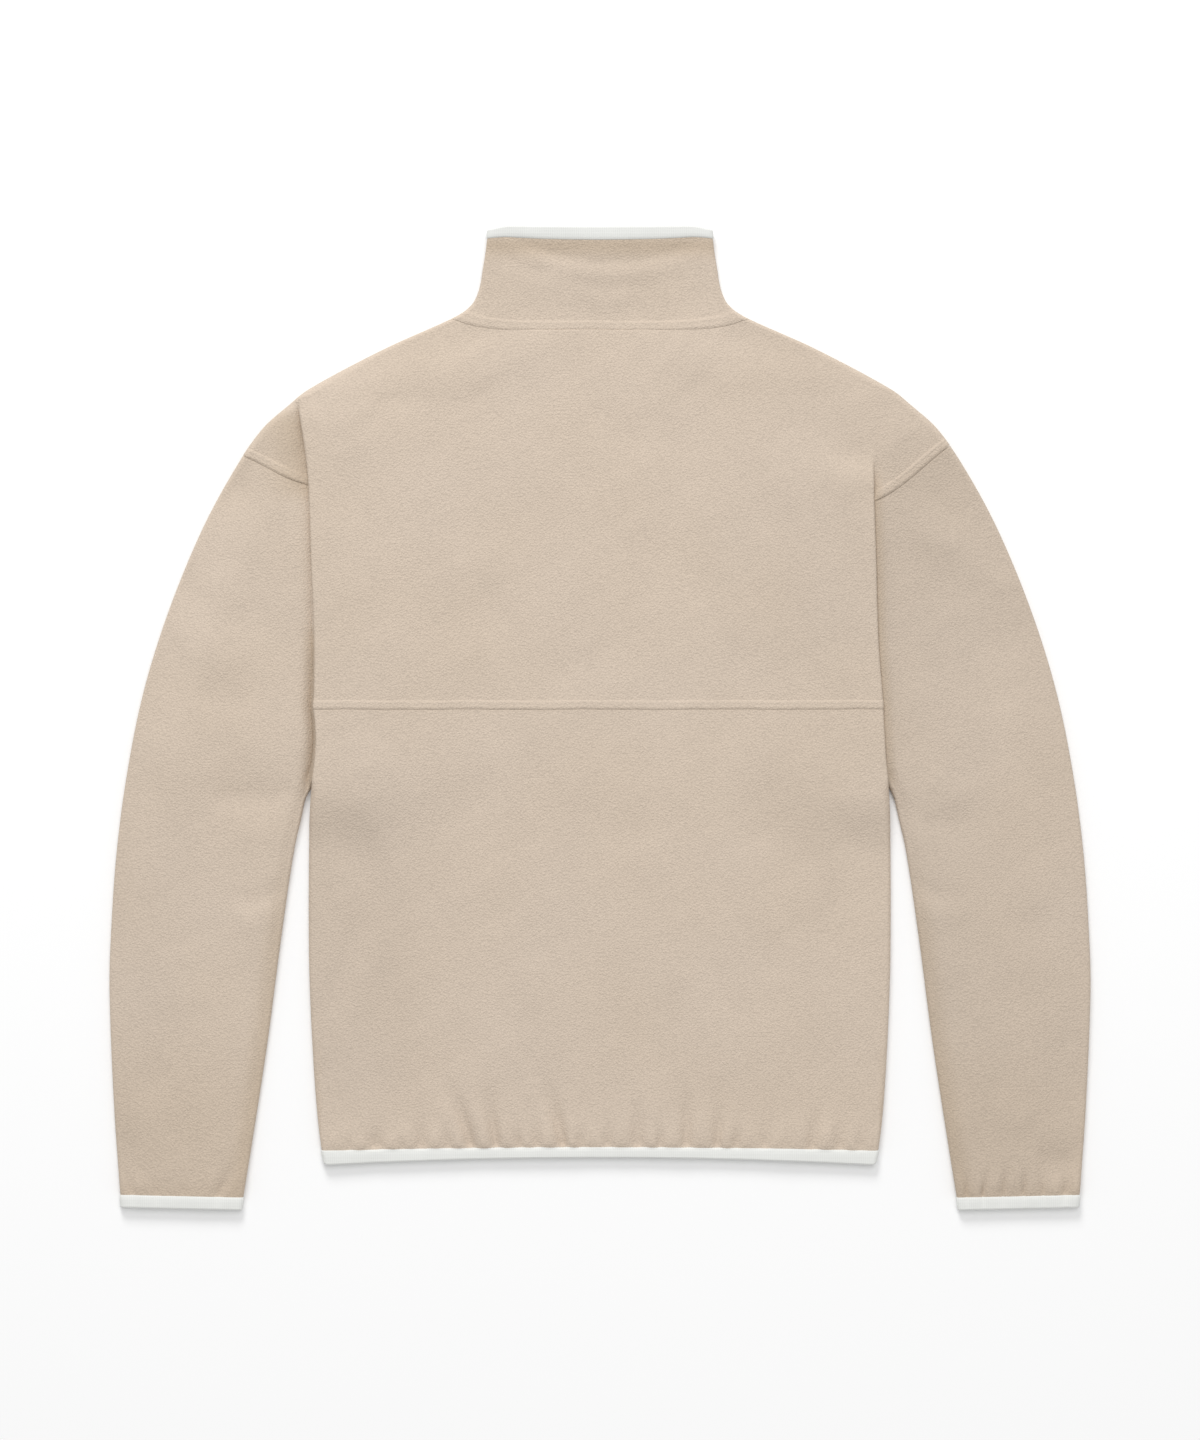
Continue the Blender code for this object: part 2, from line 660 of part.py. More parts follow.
def build_yoke(material):
    """The upper back, from the neck seam to the seam across the shoulder blades."""
    across = spread(0, 1, FLAT_COLUMNS)
    rows = [Row(BACK, NECK.left - NECK_GAP, NECK.right - NECK_GAP, across)]
    rows += rows_between(BACK, NECK, APEX, YOKE_STEPS["shoulder"], across)
    apex = len(rows) - 1
    rows += rows_between(BACK, APEX, ARMHOLE, YOKE_STEPS["cap"], across, folded=True)
    armhole = len(rows) - 1
    rows += rows_between(BACK, ARMHOLE, YOKE_BAND, YOKE_STEPS["side"], across, folded=True)
    rows.append(Row(BACK, YOKE_BAND.left - BAND_SLOPE, YOKE_BAND.right - BAND_SLOPE, across, BAND_RELIEF, folded=True))
    rows.append(Row(BACK, YOKE.left + GAP, YOKE.right + GAP, across, BAND_RELIEF, folded=True))
    return build_panel("back_yoke", BACK, rows, apex, armhole, None, material, flip=False)


def gather_columns():
    """Columns of the lower back as fractions across it: one in each trough and one between each two."""
    half = side_half(LEFT, HEM.left)
    troughs = [(gather.x + half) / (2 * half) for gather in HEM_GATHERS]
    between = [(a + b) / 2 for a, b in zip(troughs, troughs[1:])]
    ends = [0.0, troughs[0] / 2, (1 + troughs[-1]) / 2, 1.0]
    return sorted(troughs + between + ends)


def build_lower_back(material):
    """The lower back, from the yoke seam to the hem."""
    across = gather_columns()
    rows = [Row(BACK, YOKE.left - GAP, YOKE.right - GAP, across, folded=True)]
    rows += rows_between(BACK, YOKE, CLOSING, LOWER_STEPS["tuck"], across, folded=True)
    closing = len(rows) - 1
    rows.append(Row(BACK, ARMPIT.left, ARMPIT.right, across))
    rows += rows_between(BACK, ARMPIT, SUNK, LOWER_STEPS["sink"], across)
    rows += rows_between(BACK, SUNK, GATHERS, LOWER_STEPS["side"], across)
    rows += rows_between(BACK, GATHERS, HEM_FOOT, LOWER_STEPS["gathers"], across, gathered=True)
    rows.append(Row(BACK, HEM.left, HEM.right, across))
    return build_panel("lower_back", BACK, rows, None, None, closing, material, flip=False)


def build_front(material):
    """The front, from its lower neckline to the hem, flat on the ground."""
    across = spread(0, 1, FRONT_COLUMNS)
    steps = FRONT_STEPS
    rows = [Row(FRONT, NECK.left - NECK_GAP, NECK.right - NECK_GAP, across)]
    rows += rows_between(FRONT, NECK, APEX, steps["shoulder"], across)
    apex = len(rows) - 1
    rows += rows_between(FRONT, APEX, ARMHOLE, steps["cap"], across, folded=True)
    armhole = len(rows) - 1
    rows += rows_between(FRONT, ARMHOLE, YOKE, steps["side"], across, folded=True)
    rows += rows_between(FRONT, YOKE, CLOSING, steps["tuck"], across, folded=True)
    closing = len(rows) - 1
    rows.append(Row(FRONT, ARMPIT.left, ARMPIT.right, across))
    rows += rows_between(FRONT, ARMPIT, SUNK, steps["sink"], across)
    rows += rows_between(FRONT, SUNK, GATHERS, steps["body"], across)
    rows += rows_between(FRONT, GATHERS, HEM_FOOT, steps["gathers"], across, gathered=True)
    rows.append(Row(FRONT, HEM.left, HEM.right, across))
    return build_panel("front", FRONT, rows, apex, armhole, closing, material, flip=True)


# ------------------------------------------------------------------ sleeves
def sleeve_sections(side):
    """Outer and inner end of each section, to the cloth's outside, from armhole to cuff."""
    direction = seam_direction(side)
    y = of(ARMHOLE, side)
    x = side * side_half(side, y)
    seam_gap = 0.0009
    hidden = (x - direction[0] * ARMHOLE_REACH, y - direction[1] * ARMHOLE_REACH - seam_gap)
    y_out = of(ARMHOLE_TOP, side) - seam_gap
    ends = [((side * smooth(OUTER_EDGE, "half", y_out), y_out), hidden)]
    for section in [*SLEEVE_SECTIONS, CUFF_FOOT, CUFF_END]:
        outer = side * smooth(OUTER_EDGE, "half", section.outer_y)
        inner = side * smooth(INNER_EDGE, column_of(side), section.inner_y)
        ends.append(((outer, section.outer_y), (inner, section.inner_y)))
    return ends


def sleeve_levels(side, outer, inner, share):
    """Middle of a sleeve's lower and upper layer at a share of the way from outside to inside."""
    x, y = mix(outer[0], inner[0], share), mix(outer[1], inner[1], share)
    lower, upper = under_levels(side, x, y, share)
    cuff_y = mix(CUFF_END.outer_y, CUFF_END.inner_y, share)
    cuff = bound(y - cuff_y)
    pucker = 0.0
    for p in CUFF_PUCKERS[side]:
        up = (y - cuff_y - BOUND_HOLD) / p.reach
        strength = ease(up / GATHER_PEAK) * (1 - ease((up - GATHER_PEAK) / (1 - GATHER_PEAK)))
        near = (share - p.share) / 0.09
        pucker += p.depth * strength * (2 * math.exp(-near * near) - 1) * math.exp(-near * near / 4)
    return mix(lower, BOUND_LOWER, cuff), mix(upper, BOUND_UPPER, cuff) - pucker


def sleeve_ring(side, outer, inner):
    """One closed section of a sleeve: out along the upper layer, back along the lower one."""
    length = math.dist(outer, inner)
    first, last = CLOTH / 2 / length, 1 - CLOTH / 2 / length

    def radius_at(share):
        lower, upper = sleeve_levels(side, outer, inner, share)
        return (upper - lower) / 2

    out_radius, in_radius = radius_at(first), radius_at(last)
    start, end = first + out_radius / length, last - in_radius / length
    knee, run = 0.8, UNDER_RUN / length
    for _ in range(8):
        fold = side_half(side, mix(outer[1], inner[1], knee))
        knee = min((abs(outer[0]) - fold) / abs(outer[0] - inner[0]), end - 0.02)
    shares = spread(start, knee - run, SLEEVE_OUT_STEPS)[:-1]
    shares += spread(knee - run, knee, SLEEVE_RUN_STEPS)[:-1]
    shares += spread(knee, end, SLEEVE_IN_STEPS)

    def point(share, level):
        return (mix(outer[0], inner[0], share), mix(outer[1], inner[1], share), level, 0.0)

    levels = [sleeve_levels(side, outer, inner, share) for share in shares]
    ring = [point(share, upper) for share, (_, upper) in zip(shares, levels)]
    lower, upper = levels[-1]
    for out, back in half_round(ROLL_STEPS)[1:-1]:
        ring.append(point(end + in_radius * out / length, (upper + lower) / 2 + (upper - lower) / 2 * back))
    ring += [point(share, low) for share, (low, _) in reversed(list(zip(shares, levels)))]
    lower, upper = levels[0]
    for out, back in half_round(ROLL_STEPS)[1:-1]:
        ring.append(point(start - out_radius * out / length, (upper + lower) / 2 - (upper - lower) / 2 * back))
    return ring


def build_sleeve(name, side, material):
    bm = bmesh.new()
    rings = [sleeve_ring(side, outer, inner) for outer, inner in sleeve_sections(side)]
    add_grid(bm, [ring + ring[:1] for ring in rings], flip=side == RIGHT)
    return finish_piece(name, bm, CLOTH, material)


# ------------------------------------------------------------------ collar
def collar_ring(y, relief=0.0):
    """A closed section of the collar: its back from left to right, then its front from right to left."""
    top = COLLAR_EDGE[-1].y
    rise = (y - NECK.left) / (top - NECK.left)
    edge = bound(top - y, COLLAR_RUN)
    lower = mix(GROUND, BOUND_LOWER, edge)
    upper = mix(GROUND + PITCH + SHOULDER_LOFT, BOUND_UPPER, edge)
    radius = (upper - lower) / 2
    half = smooth(COLLAR_EDGE, "half", y)
    step = 0.002
    lean = (half - smooth(COLLAR_EDGE, "half", y + step)) / step
    wide = radius * math.hypot(1, lean)
    flat = half - CLOTH / 2 - wide

    def back_line():
        points = []
        for f in spread(0, 1, FLAT_COLUMNS):
            drop = mix(BACK_NECK_DROP * bulge(f, BACK_NECK_SQUARE), BACK_TOP_DROP * bulge(f), rise)
            points.append((mix(-flat, flat, f), y - drop, upper + relief / 2, relief))
        return points

    def front_line():
        drop = mix(FRONT_NECK_DROP, FRONT_TOP_DROP, rise)
        return [(mix(flat, -flat, f), y - drop * bulge(f), lower, 0.0) for f in spread(0, 1, FRONT_COLUMNS)]

    def side_roll(side):
        turns = half_round(ROLL_STEPS)[1:-1]
        turns = turns if side == RIGHT else turns[::-1]
        middle = (upper + lower) / 2
        return [(side * (flat + wide * out), y, middle + radius * back, 0.0) for out, back in turns]

    return back_line() + side_roll(RIGHT) + front_line() + side_roll(LEFT)


def build_collar(material):
    """The stand-up collar, one tube from the neck seam to its bound edge."""
    top, band = COLLAR_EDGE[-1].y, NECK.left + BAND
    heights = [row.y for row in COLLAR_EDGE[3:-1]] + [top - COLLAR_TRIM + TRIM_PAST, top]
    rings = [collar_ring(y) for y in reversed([band + BAND_SLOPE] + heights)]
    rings += [collar_ring(y, BAND_RELIEF) for y in (band, COLLAR_EDGE[1].y, NECK.left + NECK_GAP)]
    bm = bmesh.new()
    add_grid(bm, [ring + ring[:1] for ring in rings])
    return finish_piece("collar", bm, CLOTH, material, varied=True)


# ------------------------------------------------------------------ bindings
def build_binding(name, edge, foot, material):
    """An elastic binding folded over a closed loop of edge points, down to the loop of foot points."""
    away = CLOTH / 2 + GAP + TRIM / 2
    count = len(edge)
    rings = []
    for k in range(count):
        here, low = Vector(edge[k][:3]), Vector(foot[k][:3])
        arriving = (here - Vector(edge[k - 1][:3])).normalized()
        leaving = (Vector(edge[(k + 1) % count][:3]) - here).normalized()
        along = arriving + leaving
        out = here - low
        normal = out.cross(along).normalized() * away * 2 / along.length
        out = (out - out.project(along)).normalized()
        ring = [low + normal]
        ring += [here + out * TRIM_TURN * past + normal * over for past, over in half_round(1)]
        ring += [low - normal]
        rings.append([(x, y, max(z, TRIM / 2), 0.0) for x, y, z in ring])
    bm = bmesh.new()
    add_grid(bm, rings + rings[:1])
    return finish_piece(name, bm, TRIM, material)


def hem_loop(anchor, columns=HEM_TRIM_COLUMNS):
    """A loop round the hem: along the back from left to right, and along the front from right to left."""
    across = spread(0, 1, columns)
    back, front = (Row(panel, anchor.left, anchor.right, across) for panel in (BACK, FRONT))
    loop = back.flat()
    for side in (RIGHT, LEFT):
        upper, lower = back.roll(side)[1:-1], front.roll(side)[1:-1]
        if side == RIGHT:
            loop += upper + lower[::-1] + front.flat()[::-1]
        else:
            loop += lower + upper[::-1]
    return loop


def build_bindings(material):
    build_binding("hem_binding", hem_loop(HEM), hem_loop(HEM_FOOT), material)
    for name, side in (("cuff_binding_left", LEFT), ("cuff_binding_right", RIGHT)):
        foot, edge = (sleeve_ring(side, *ends) for ends in sleeve_sections(side)[-2:])
        if side == RIGHT:
            foot, edge = foot[::-1], edge[::-1]
        build_binding(name, edge, foot, material)
    top = COLLAR_EDGE[-1].y
    foot = collar_ring(top - COLLAR_TRIM + TRIM_PAST)
    build_binding("collar_binding", collar_ring(top)[::-1], foot[::-1], material)


# ------------------------------------------------------------------ scene
def clear_scene():
    for thing in list(bpy.data.objects):
        bpy.data.objects.remove(thing)


def make_material(name, colour, roughness, sheen):
    material = bpy.data.materials.new(name)
    material.use_nodes = True
    shader = material.node_tree.nodes["Principled BSDF"]
    shader.inputs["Base Color"].default_value = (*colour, 1.0)
    shader.inputs["Roughness"].default_value = roughness
    shader.inputs["Metallic"].default_value = 0.0
    shader.inputs["Sheen Weight"].default_value = sheen
    return material


def build():
    clear_scene()
    collection = bpy.data.collections.new("fleece_pullover")
    bpy.context.scene.collection.children.link(collection)
    fleece = make_material("fleece", FLEECE_COLOUR, 0.95, 0.4)
    trim = make_material("elastic_binding", TRIM_COLOUR, 0.7, 0.1)
    build_yoke(fleece)
    build_lower_back(fleece)
    build_front(fleece)
    build_sleeve("sleeve_left", LEFT, fleece)
    build_sleeve("sleeve_right", RIGHT, fleece)
    build_collar(fleece)
    build_bindings(trim)


build()
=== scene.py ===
import math
from collections import namedtuple

import bmesh
import bpy
import numpy as np
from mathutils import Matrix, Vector
from mathutils.bvhtree import BVHTree


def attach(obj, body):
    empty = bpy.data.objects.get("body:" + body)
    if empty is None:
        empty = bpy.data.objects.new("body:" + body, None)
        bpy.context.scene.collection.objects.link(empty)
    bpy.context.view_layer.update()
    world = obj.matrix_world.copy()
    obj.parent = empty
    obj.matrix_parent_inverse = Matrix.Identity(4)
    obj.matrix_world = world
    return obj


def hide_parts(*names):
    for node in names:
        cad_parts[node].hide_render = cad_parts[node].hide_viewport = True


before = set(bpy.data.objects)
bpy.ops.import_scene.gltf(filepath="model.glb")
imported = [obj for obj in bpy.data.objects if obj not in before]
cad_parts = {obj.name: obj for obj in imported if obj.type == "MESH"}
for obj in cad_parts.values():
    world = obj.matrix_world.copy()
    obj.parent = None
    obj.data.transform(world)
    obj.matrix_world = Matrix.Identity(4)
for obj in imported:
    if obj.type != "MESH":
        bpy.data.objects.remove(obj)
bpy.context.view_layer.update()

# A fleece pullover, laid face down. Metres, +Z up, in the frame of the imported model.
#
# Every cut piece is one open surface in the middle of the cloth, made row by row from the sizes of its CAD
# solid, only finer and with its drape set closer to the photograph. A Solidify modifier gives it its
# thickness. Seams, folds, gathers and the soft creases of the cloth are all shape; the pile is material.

LEFT, RIGHT = SIDES = -1, 1
BACK, FRONT = "back", "front"

# ---- thicknesses, as in the CAD model, and how loosely the layers lie, which is set closer here
CLOTH = 0.0020  # fleece
GAP = 0.0003  # air between two layers
PITCH = CLOTH + 2 * GAP  # from one layer of cloth to the next
GROUND = CLOTH / 2  # middle of a layer that lies on the ground
SLACK_LOFT, SEAM_LOFT, SHOULDER_LOFT = 0.0026, 0.0024, 0.0016
FOLD_LOFT = {LEFT: 0.0086, RIGHT: 0.0058}  # air inside the shoulder's edge where the fold begins
SLEEVE_LOFT = 0.0016
CROWN_OUT, CROWN_IN = 0.050, 0.014  # a sleeve's crown rises over these distances from its two edges
CROWN_EDGE = 0.08  # and this far along the rise it begins
CROWN_NARROW, CROWN_WIDEN = 0.02, 0.08  # a section this wide has none, and one this much wider all of it
SHOULDER_TOP, SHOULDER_LOW, SHOULDER_RUN = 0.315, 0.180, 0.060  # heights round which the shoulder's air changes
TRIM = 0.0008  # wall of the elastic binding
TRIM_TURN = 0.0012  # from the edge it binds to the middle of its wall, past the edge
HEM_TRIM, CUFF_TRIM, COLLAR_TRIM = 0.0120, 0.0105, 0.0083
TRIM_PAST = TRIM_TURN + TRIM / 2
BOUND_LOWER = TRIM + GAP + CLOTH / 2
BOUND_UPPER = BOUND_LOWER + 2 * (BOUND_LOWER + 0.00025)
BOUND_HOLD, BOUND_RUN, COLLAR_RUN = 0.0125, 0.030, 0.056  # the layers lie close up to here, and open over these
RIM_GAP = 0.0002  # between the rims of front and back

# ---- seams
BAND = 0.0062  # width of a seam allowance that is stitched down
BAND_RELIEF = 0.0007  # how far it lifts the cloth
BAND_EDGE = 0.0022  # over this distance
BAND_START, BAND_RISE = 0.45, 0.0016  # its share of that height at the seam, and where it is whole
CAP_BAND_GAIN = 1.3  # the armhole's band is this much thicker
STITCH_LINE = 0.0040  # the topstitching's distance from the seam
STITCH_SINK, STITCH_HALF = 0.00016, 0.0008  # how far it presses the cloth in, and half how wide
DITCH, DITCH_RUN, DITCH_POWER = 0.00020, 0.0012, 1.6  # depth of the groove at a seam, its side's run and curve
SEAM_AIR = -0.00010  # half the air left in it: the two edges are pressed together
# Distances from a seam at which its piece has rows.
SEAM_ROWS = [0, 0.0003, 0.0006, 0.0009, 0.0012, 0.0016, 0.0022, 0.003, 0.0039, 0.0048, 0.0056, 0.0062]
SEAM_ROWS += [0.0066, 0.007, 0.0074, 0.0078, 0.0083, 0.0089, 0.0096, 0.0105]

# ---- outline, as in the CAD model except the body's side and the sleeves' inside edges, which are set closer
# y, half width
OUTER_EDGE = [
    (0.322, 0.1212), (0.3181, 0.1296), (0.2981, 0.1742), (0.2657, 0.2347), (0.252, 0.2522),
    (0.2333, 0.273), (0.2009, 0.2957), (0.1523, 0.322), (0.0875, 0.3487), (0.0227, 0.369),
    (-0.0421, 0.3823), (-0.1069, 0.391), (-0.1717, 0.3956), (-0.2203, 0.3969), (-0.3175, 0.393),
    (-0.397, 0.3872),
]
# y, left, right
SIDE_EDGE = [
    (0.2657, 0.2465, 0.2347), (0.225, 0.2398, 0.224), (0.193, 0.236, 0.2217), (0.128, 0.2336, 0.2234),
    (0.063, 0.2311, 0.2252), (0.020, 0.2312, 0.2284), (0.008, 0.2318, 0.2292), (-0.002, 0.2306, 0.2296),
    (-0.018, 0.2298, 0.2305), (-0.035, 0.2309, 0.2315), (-0.050, 0.2327, 0.233), (-0.085, 0.235, 0.2347),
    (-0.188, 0.2355, 0.235), (-0.253, 0.2333, 0.233), (-0.3175, 0.229, 0.229),
    (-0.362, 0.2236, 0.2236),
]
INNER_EDGE = [
    (0.1725, 0.2066, 0.200), (0.1565, 0.2048, 0.1932), (0.1118, 0.2025, 0.194), (0.0551, 0.2035, 0.1975),
    (0.010, 0.210, 0.208), (-0.020, 0.219, 0.219), (-0.040, 0.225, 0.2265), (-0.0535, 0.2318, 0.2322),
    (-0.060, 0.2358, 0.2358), (-0.0664, 0.2386, 0.2384), (-0.078, 0.2411, 0.241), (-0.1069, 0.2475, 0.2475),
    (-0.1717, 0.2572, 0.2572), (-0.2689, 0.2701, 0.2701), (-0.398, 0.2902, 0.2902),
]
COLLAR_EDGE = [
    (0.322, 0.1212), (0.3262, 0.1134), (0.3304, 0.1076), (0.3366, 0.102), (0.3483, 0.0974),
    (0.3629, 0.0949), (0.3791, 0.0923), (0.3967, 0.0906),
]
COLLAR_TOP = COLLAR_EDGE[-1][0]
# y on the outside edge, y on the inside edge
SLEEVE_SECTIONS = [
    (0.185, 0.138), (0.145, 0.096), (0.100, 0.050), (0.060, 0.010), (0.030, -0.018),
    (0.010, -0.034), (-0.015, -0.056), (-0.045, -0.080), (-0.095, -0.123), (-0.155, -0.176),
    (-0.215, -0.230), (-0.270, -0.281), (-0.315, -0.323), (-0.345, -0.351), (-0.366, -0.369),
]

# ---- rows of the body, as in the CAD model except where the folds begin and how far they reach
NECK = 0.3220
NECK_SEAM = {LEFT: NECK, RIGHT: NECK}
APEX = {LEFT: 0.2592, RIGHT: 0.2657}
ARMHOLE = {LEFT: 0.1877, RIGHT: 0.1740}
ARMHOLE_TOP = {LEFT: 0.212, RIGHT: 0.2203}
YOKE = {LEFT: 0.0072, RIGHT: 0.0074}
CLOSING, ARMPIT, GATHERS = -0.050, -0.060, -0.2700
HEM = -0.3617 + TRIM_PAST
HEM_FOOT = HEM + HEM_TRIM - TRIM_PAST
HEM_ARCH = 0.0060
HEM_HALF, BODY_HALF = 0.2236, 0.2255  # half the hem's width, and a little more: what lies within is body
HEM_NARROW = 0.0030  # the binding is this much narrower in the middle, where the cloth bags over it
BACK_NECK_DROP, FRONT_NECK_DROP, BACK_NECK_SQUARE = 0.0083, 0.050, 6
BACK_TOP_DROP, FRONT_TOP_DROP = 0.0008, 0.0370
BACK_NECK_FADE, FRONT_NECK_FADE = 0.220, 0.1500
FOLD_START = {LEFT: 0.2592, RIGHT: 0.2150}
FOLD_FULL = {LEFT: 0.232, RIGHT: 0.1840}
FLAP_START = {LEFT: 0.236, RIGHT: 0.1880}
FLAP_DEPTH, FLAP_END_DEPTH = 0.030, 0.0060
TUCK_HOLD, TUCK_FALL, TUCK_END = 0.030, 0.130, 0.0500
TUCK_BLUR, TUCK_BLUR_RUN = 0.055, 0.09  # the stack fades this far up and down the body, this far from the fold
ARMPIT_RUN = 0.1  # the side seam's air grows to the shoulder's over this height
BELOW_FROM, BELOW_RUN = 0.02, 0.14  # the stack gives way to the plain side seam from above the armpit down
SEAM_HOLD, SEAM_FALL = 0.006, 0.0300
UNDER_HOLD = 0.0006
UNDER_FALL = 0.0028  # the lower layer comes down to the ground over this distance
# y, and over what distance the layer that comes out from under the fold reaches its own height
UNDER_RUN = {
    LEFT: [
        (0.260, 0.034), (0.200, 0.032), (0.160, 0.015), (0.060, 0.013), (0.000, 0.010),
        (-0.040, 0.007),
    ],
    RIGHT: [(0.260, 0.026), (0.170, 0.024), (0.050, 0.020), (0.000, 0.012), (-0.040, 0.009)],
}
FURROW_AT = 0.0012  # how far from the fold's edge a furrow is deepest
# y, depth and width of the furrow close beside each fold, or of a ridge where the depth is below nought
FURROW = {
    LEFT: [
        (0.2592, 0.000, 0.008), (0.230, 0.0012, 0.010), (0.196, 0.0012, 0.009), (0.160, 0.0004, 0.005),
        (0.120, 0.0006, 0.005), (0.060, 0.0022, 0.006), (0.020, 0.0044, 0.007), (-0.012, 0.0058, 0.007),
        (-0.048, 0.0058, 0.007), (-0.060, 0.0022, 0.005), (-0.080, 0.0, 0.005),
    ],
    RIGHT: [
        (0.2657, 0.0, 0.008), (0.215, 0.0005, 0.006), (0.202, 0.0007, 0.006), (0.190, 0.0, 0.008),
        (0.172, -0.0018, 0.009), (0.000, -0.0018, 0.009),
        (-0.038, -0.0008, 0.007), (-0.050, 0.0008, 0.005), (-0.060, 0.0, 0.005),
    ],
}
# y, and how far a sleeve's middle is puffed up
SLEEVE_CROWN = {
    LEFT: [
        (0.220, 0.0072), (0.120, 0.0064), (0.040, 0.0056), (-0.020, 0.006), (-0.070, 0.0036),
        (-0.340, 0.002),
    ],
    RIGHT: [
        (0.240, 0.004), (0.180, 0.0016), (0.040, 0.0014), (-0.020, 0.0022), (-0.070, 0.0028),
        (-0.340, 0.002),
    ],
}
CUFF_END = (-0.3961 + TRIM_PAST, -0.3982 + TRIM_PAST)
CUFF_FOOT = (CUFF_END[0] + CUFF_TRIM - TRIM_PAST, CUFF_END[1] + CUFF_TRIM - TRIM_PAST)
ARMHOLE_REACH = 0.0330  # the armhole seam goes on this far, hidden under the fold

# ---- creases
Gather = namedtuple("Gather", "x reach lean half depth")
# Troughs above the hem's elastic: lean is where the top goes sideways.
HEM_GATHERS = [Gather(*row) for row in [
    (-0.203, 0.026, 0.004, 0.005, 0.0007), (-0.1814, 0.034, 0.000, 0.0085, 0.0014),
    (-0.160, 0.022, -0.002, 0.0045, 0.0006), (-0.1442, 0.046, 0.000, 0.006, 0.0011),
    (-0.1231, 0.032, 0.000, 0.005, 0.0009), (-0.1045, 0.084, -0.030, 0.0058, 0.0017),
    (-0.084, 0.080, -0.016, 0.0052, 0.0016), (-0.065, 0.030, -0.006, 0.0045, 0.0009),
    (-0.051, 0.034, -0.004, 0.0044, 0.0009), (-0.030, 0.086, -0.026, 0.0058, 0.0018),
    (-0.0155, 0.026, -0.003, 0.004, 0.0008), (0.0065, 0.036, 0.001, 0.0048, 0.0009),
    (0.031, 0.070, -0.005, 0.0068, 0.0013), (0.0486, 0.028, 0.002, 0.0042, 0.001),
    (0.070, 0.082, 0.002, 0.0052, 0.0013), (0.0945, 0.060, 0.006, 0.0052, 0.0014),
    (0.1095, 0.034, 0.002, 0.0042, 0.0009), (0.1328, 0.044, 0.006, 0.006, 0.0008),
    (0.171, 0.058, 0.015, 0.0058, 0.0011), (0.1935, 0.046, 0.004, 0.0058, 0.001),
    (0.211, 0.026, -0.003, 0.0045, 0.0006),
]]
GATHER_PEAK = 0.10  # a gather is deepest up to this share of its reach
GATHER_RISE = 0.0045  # and begins over this distance, from
GATHER_BELOW, PUCKER_BELOW = 0.0022, 0.0036  # this far below the binding's foot
CRIMP, CRIMP_REACH = 0.00035, 0.024  # the fine unevenness between the gathers, and how far up it goes
GATHER_GAIN, PUCKER_GAIN = 1.5, 1.3  # the depths in the tables are multiplied by these
Pucker = namedtuple("Pucker", "share reach lean half depth")
# Troughs above each cuff's elastic: share runs from the sleeve's outside edge to its inside one.
CUFF_PUCKERS = {
    LEFT: [
        (0.10, 0.034, 0.06, 0.060, 0.0008),
        (0.30, 0.024, 0.02, 0.045, 0.0005),
        (0.52, 0.020, 0.00, 0.040, 0.0004),
        (0.80, 0.050, -0.16, 0.075, 0.001),
    ],
    RIGHT: [
        (0.12, 0.030, 0.05, 0.060, 0.0014),
        (0.30, 0.026, -0.02, 0.034, 0.0012),
        (0.46, 0.034, 0.05, 0.038, 0.0014),
        (0.63, 0.038, 0.09, 0.036, 0.0014),
        (0.79, 0.034, 0.11, 0.036, 0.0014),
        (0.92, 0.026, 0.04, 0.032, 0.0008),
    ],
}
Crease = namedtuple("Crease", "x0 y0 x1 y1 half height")
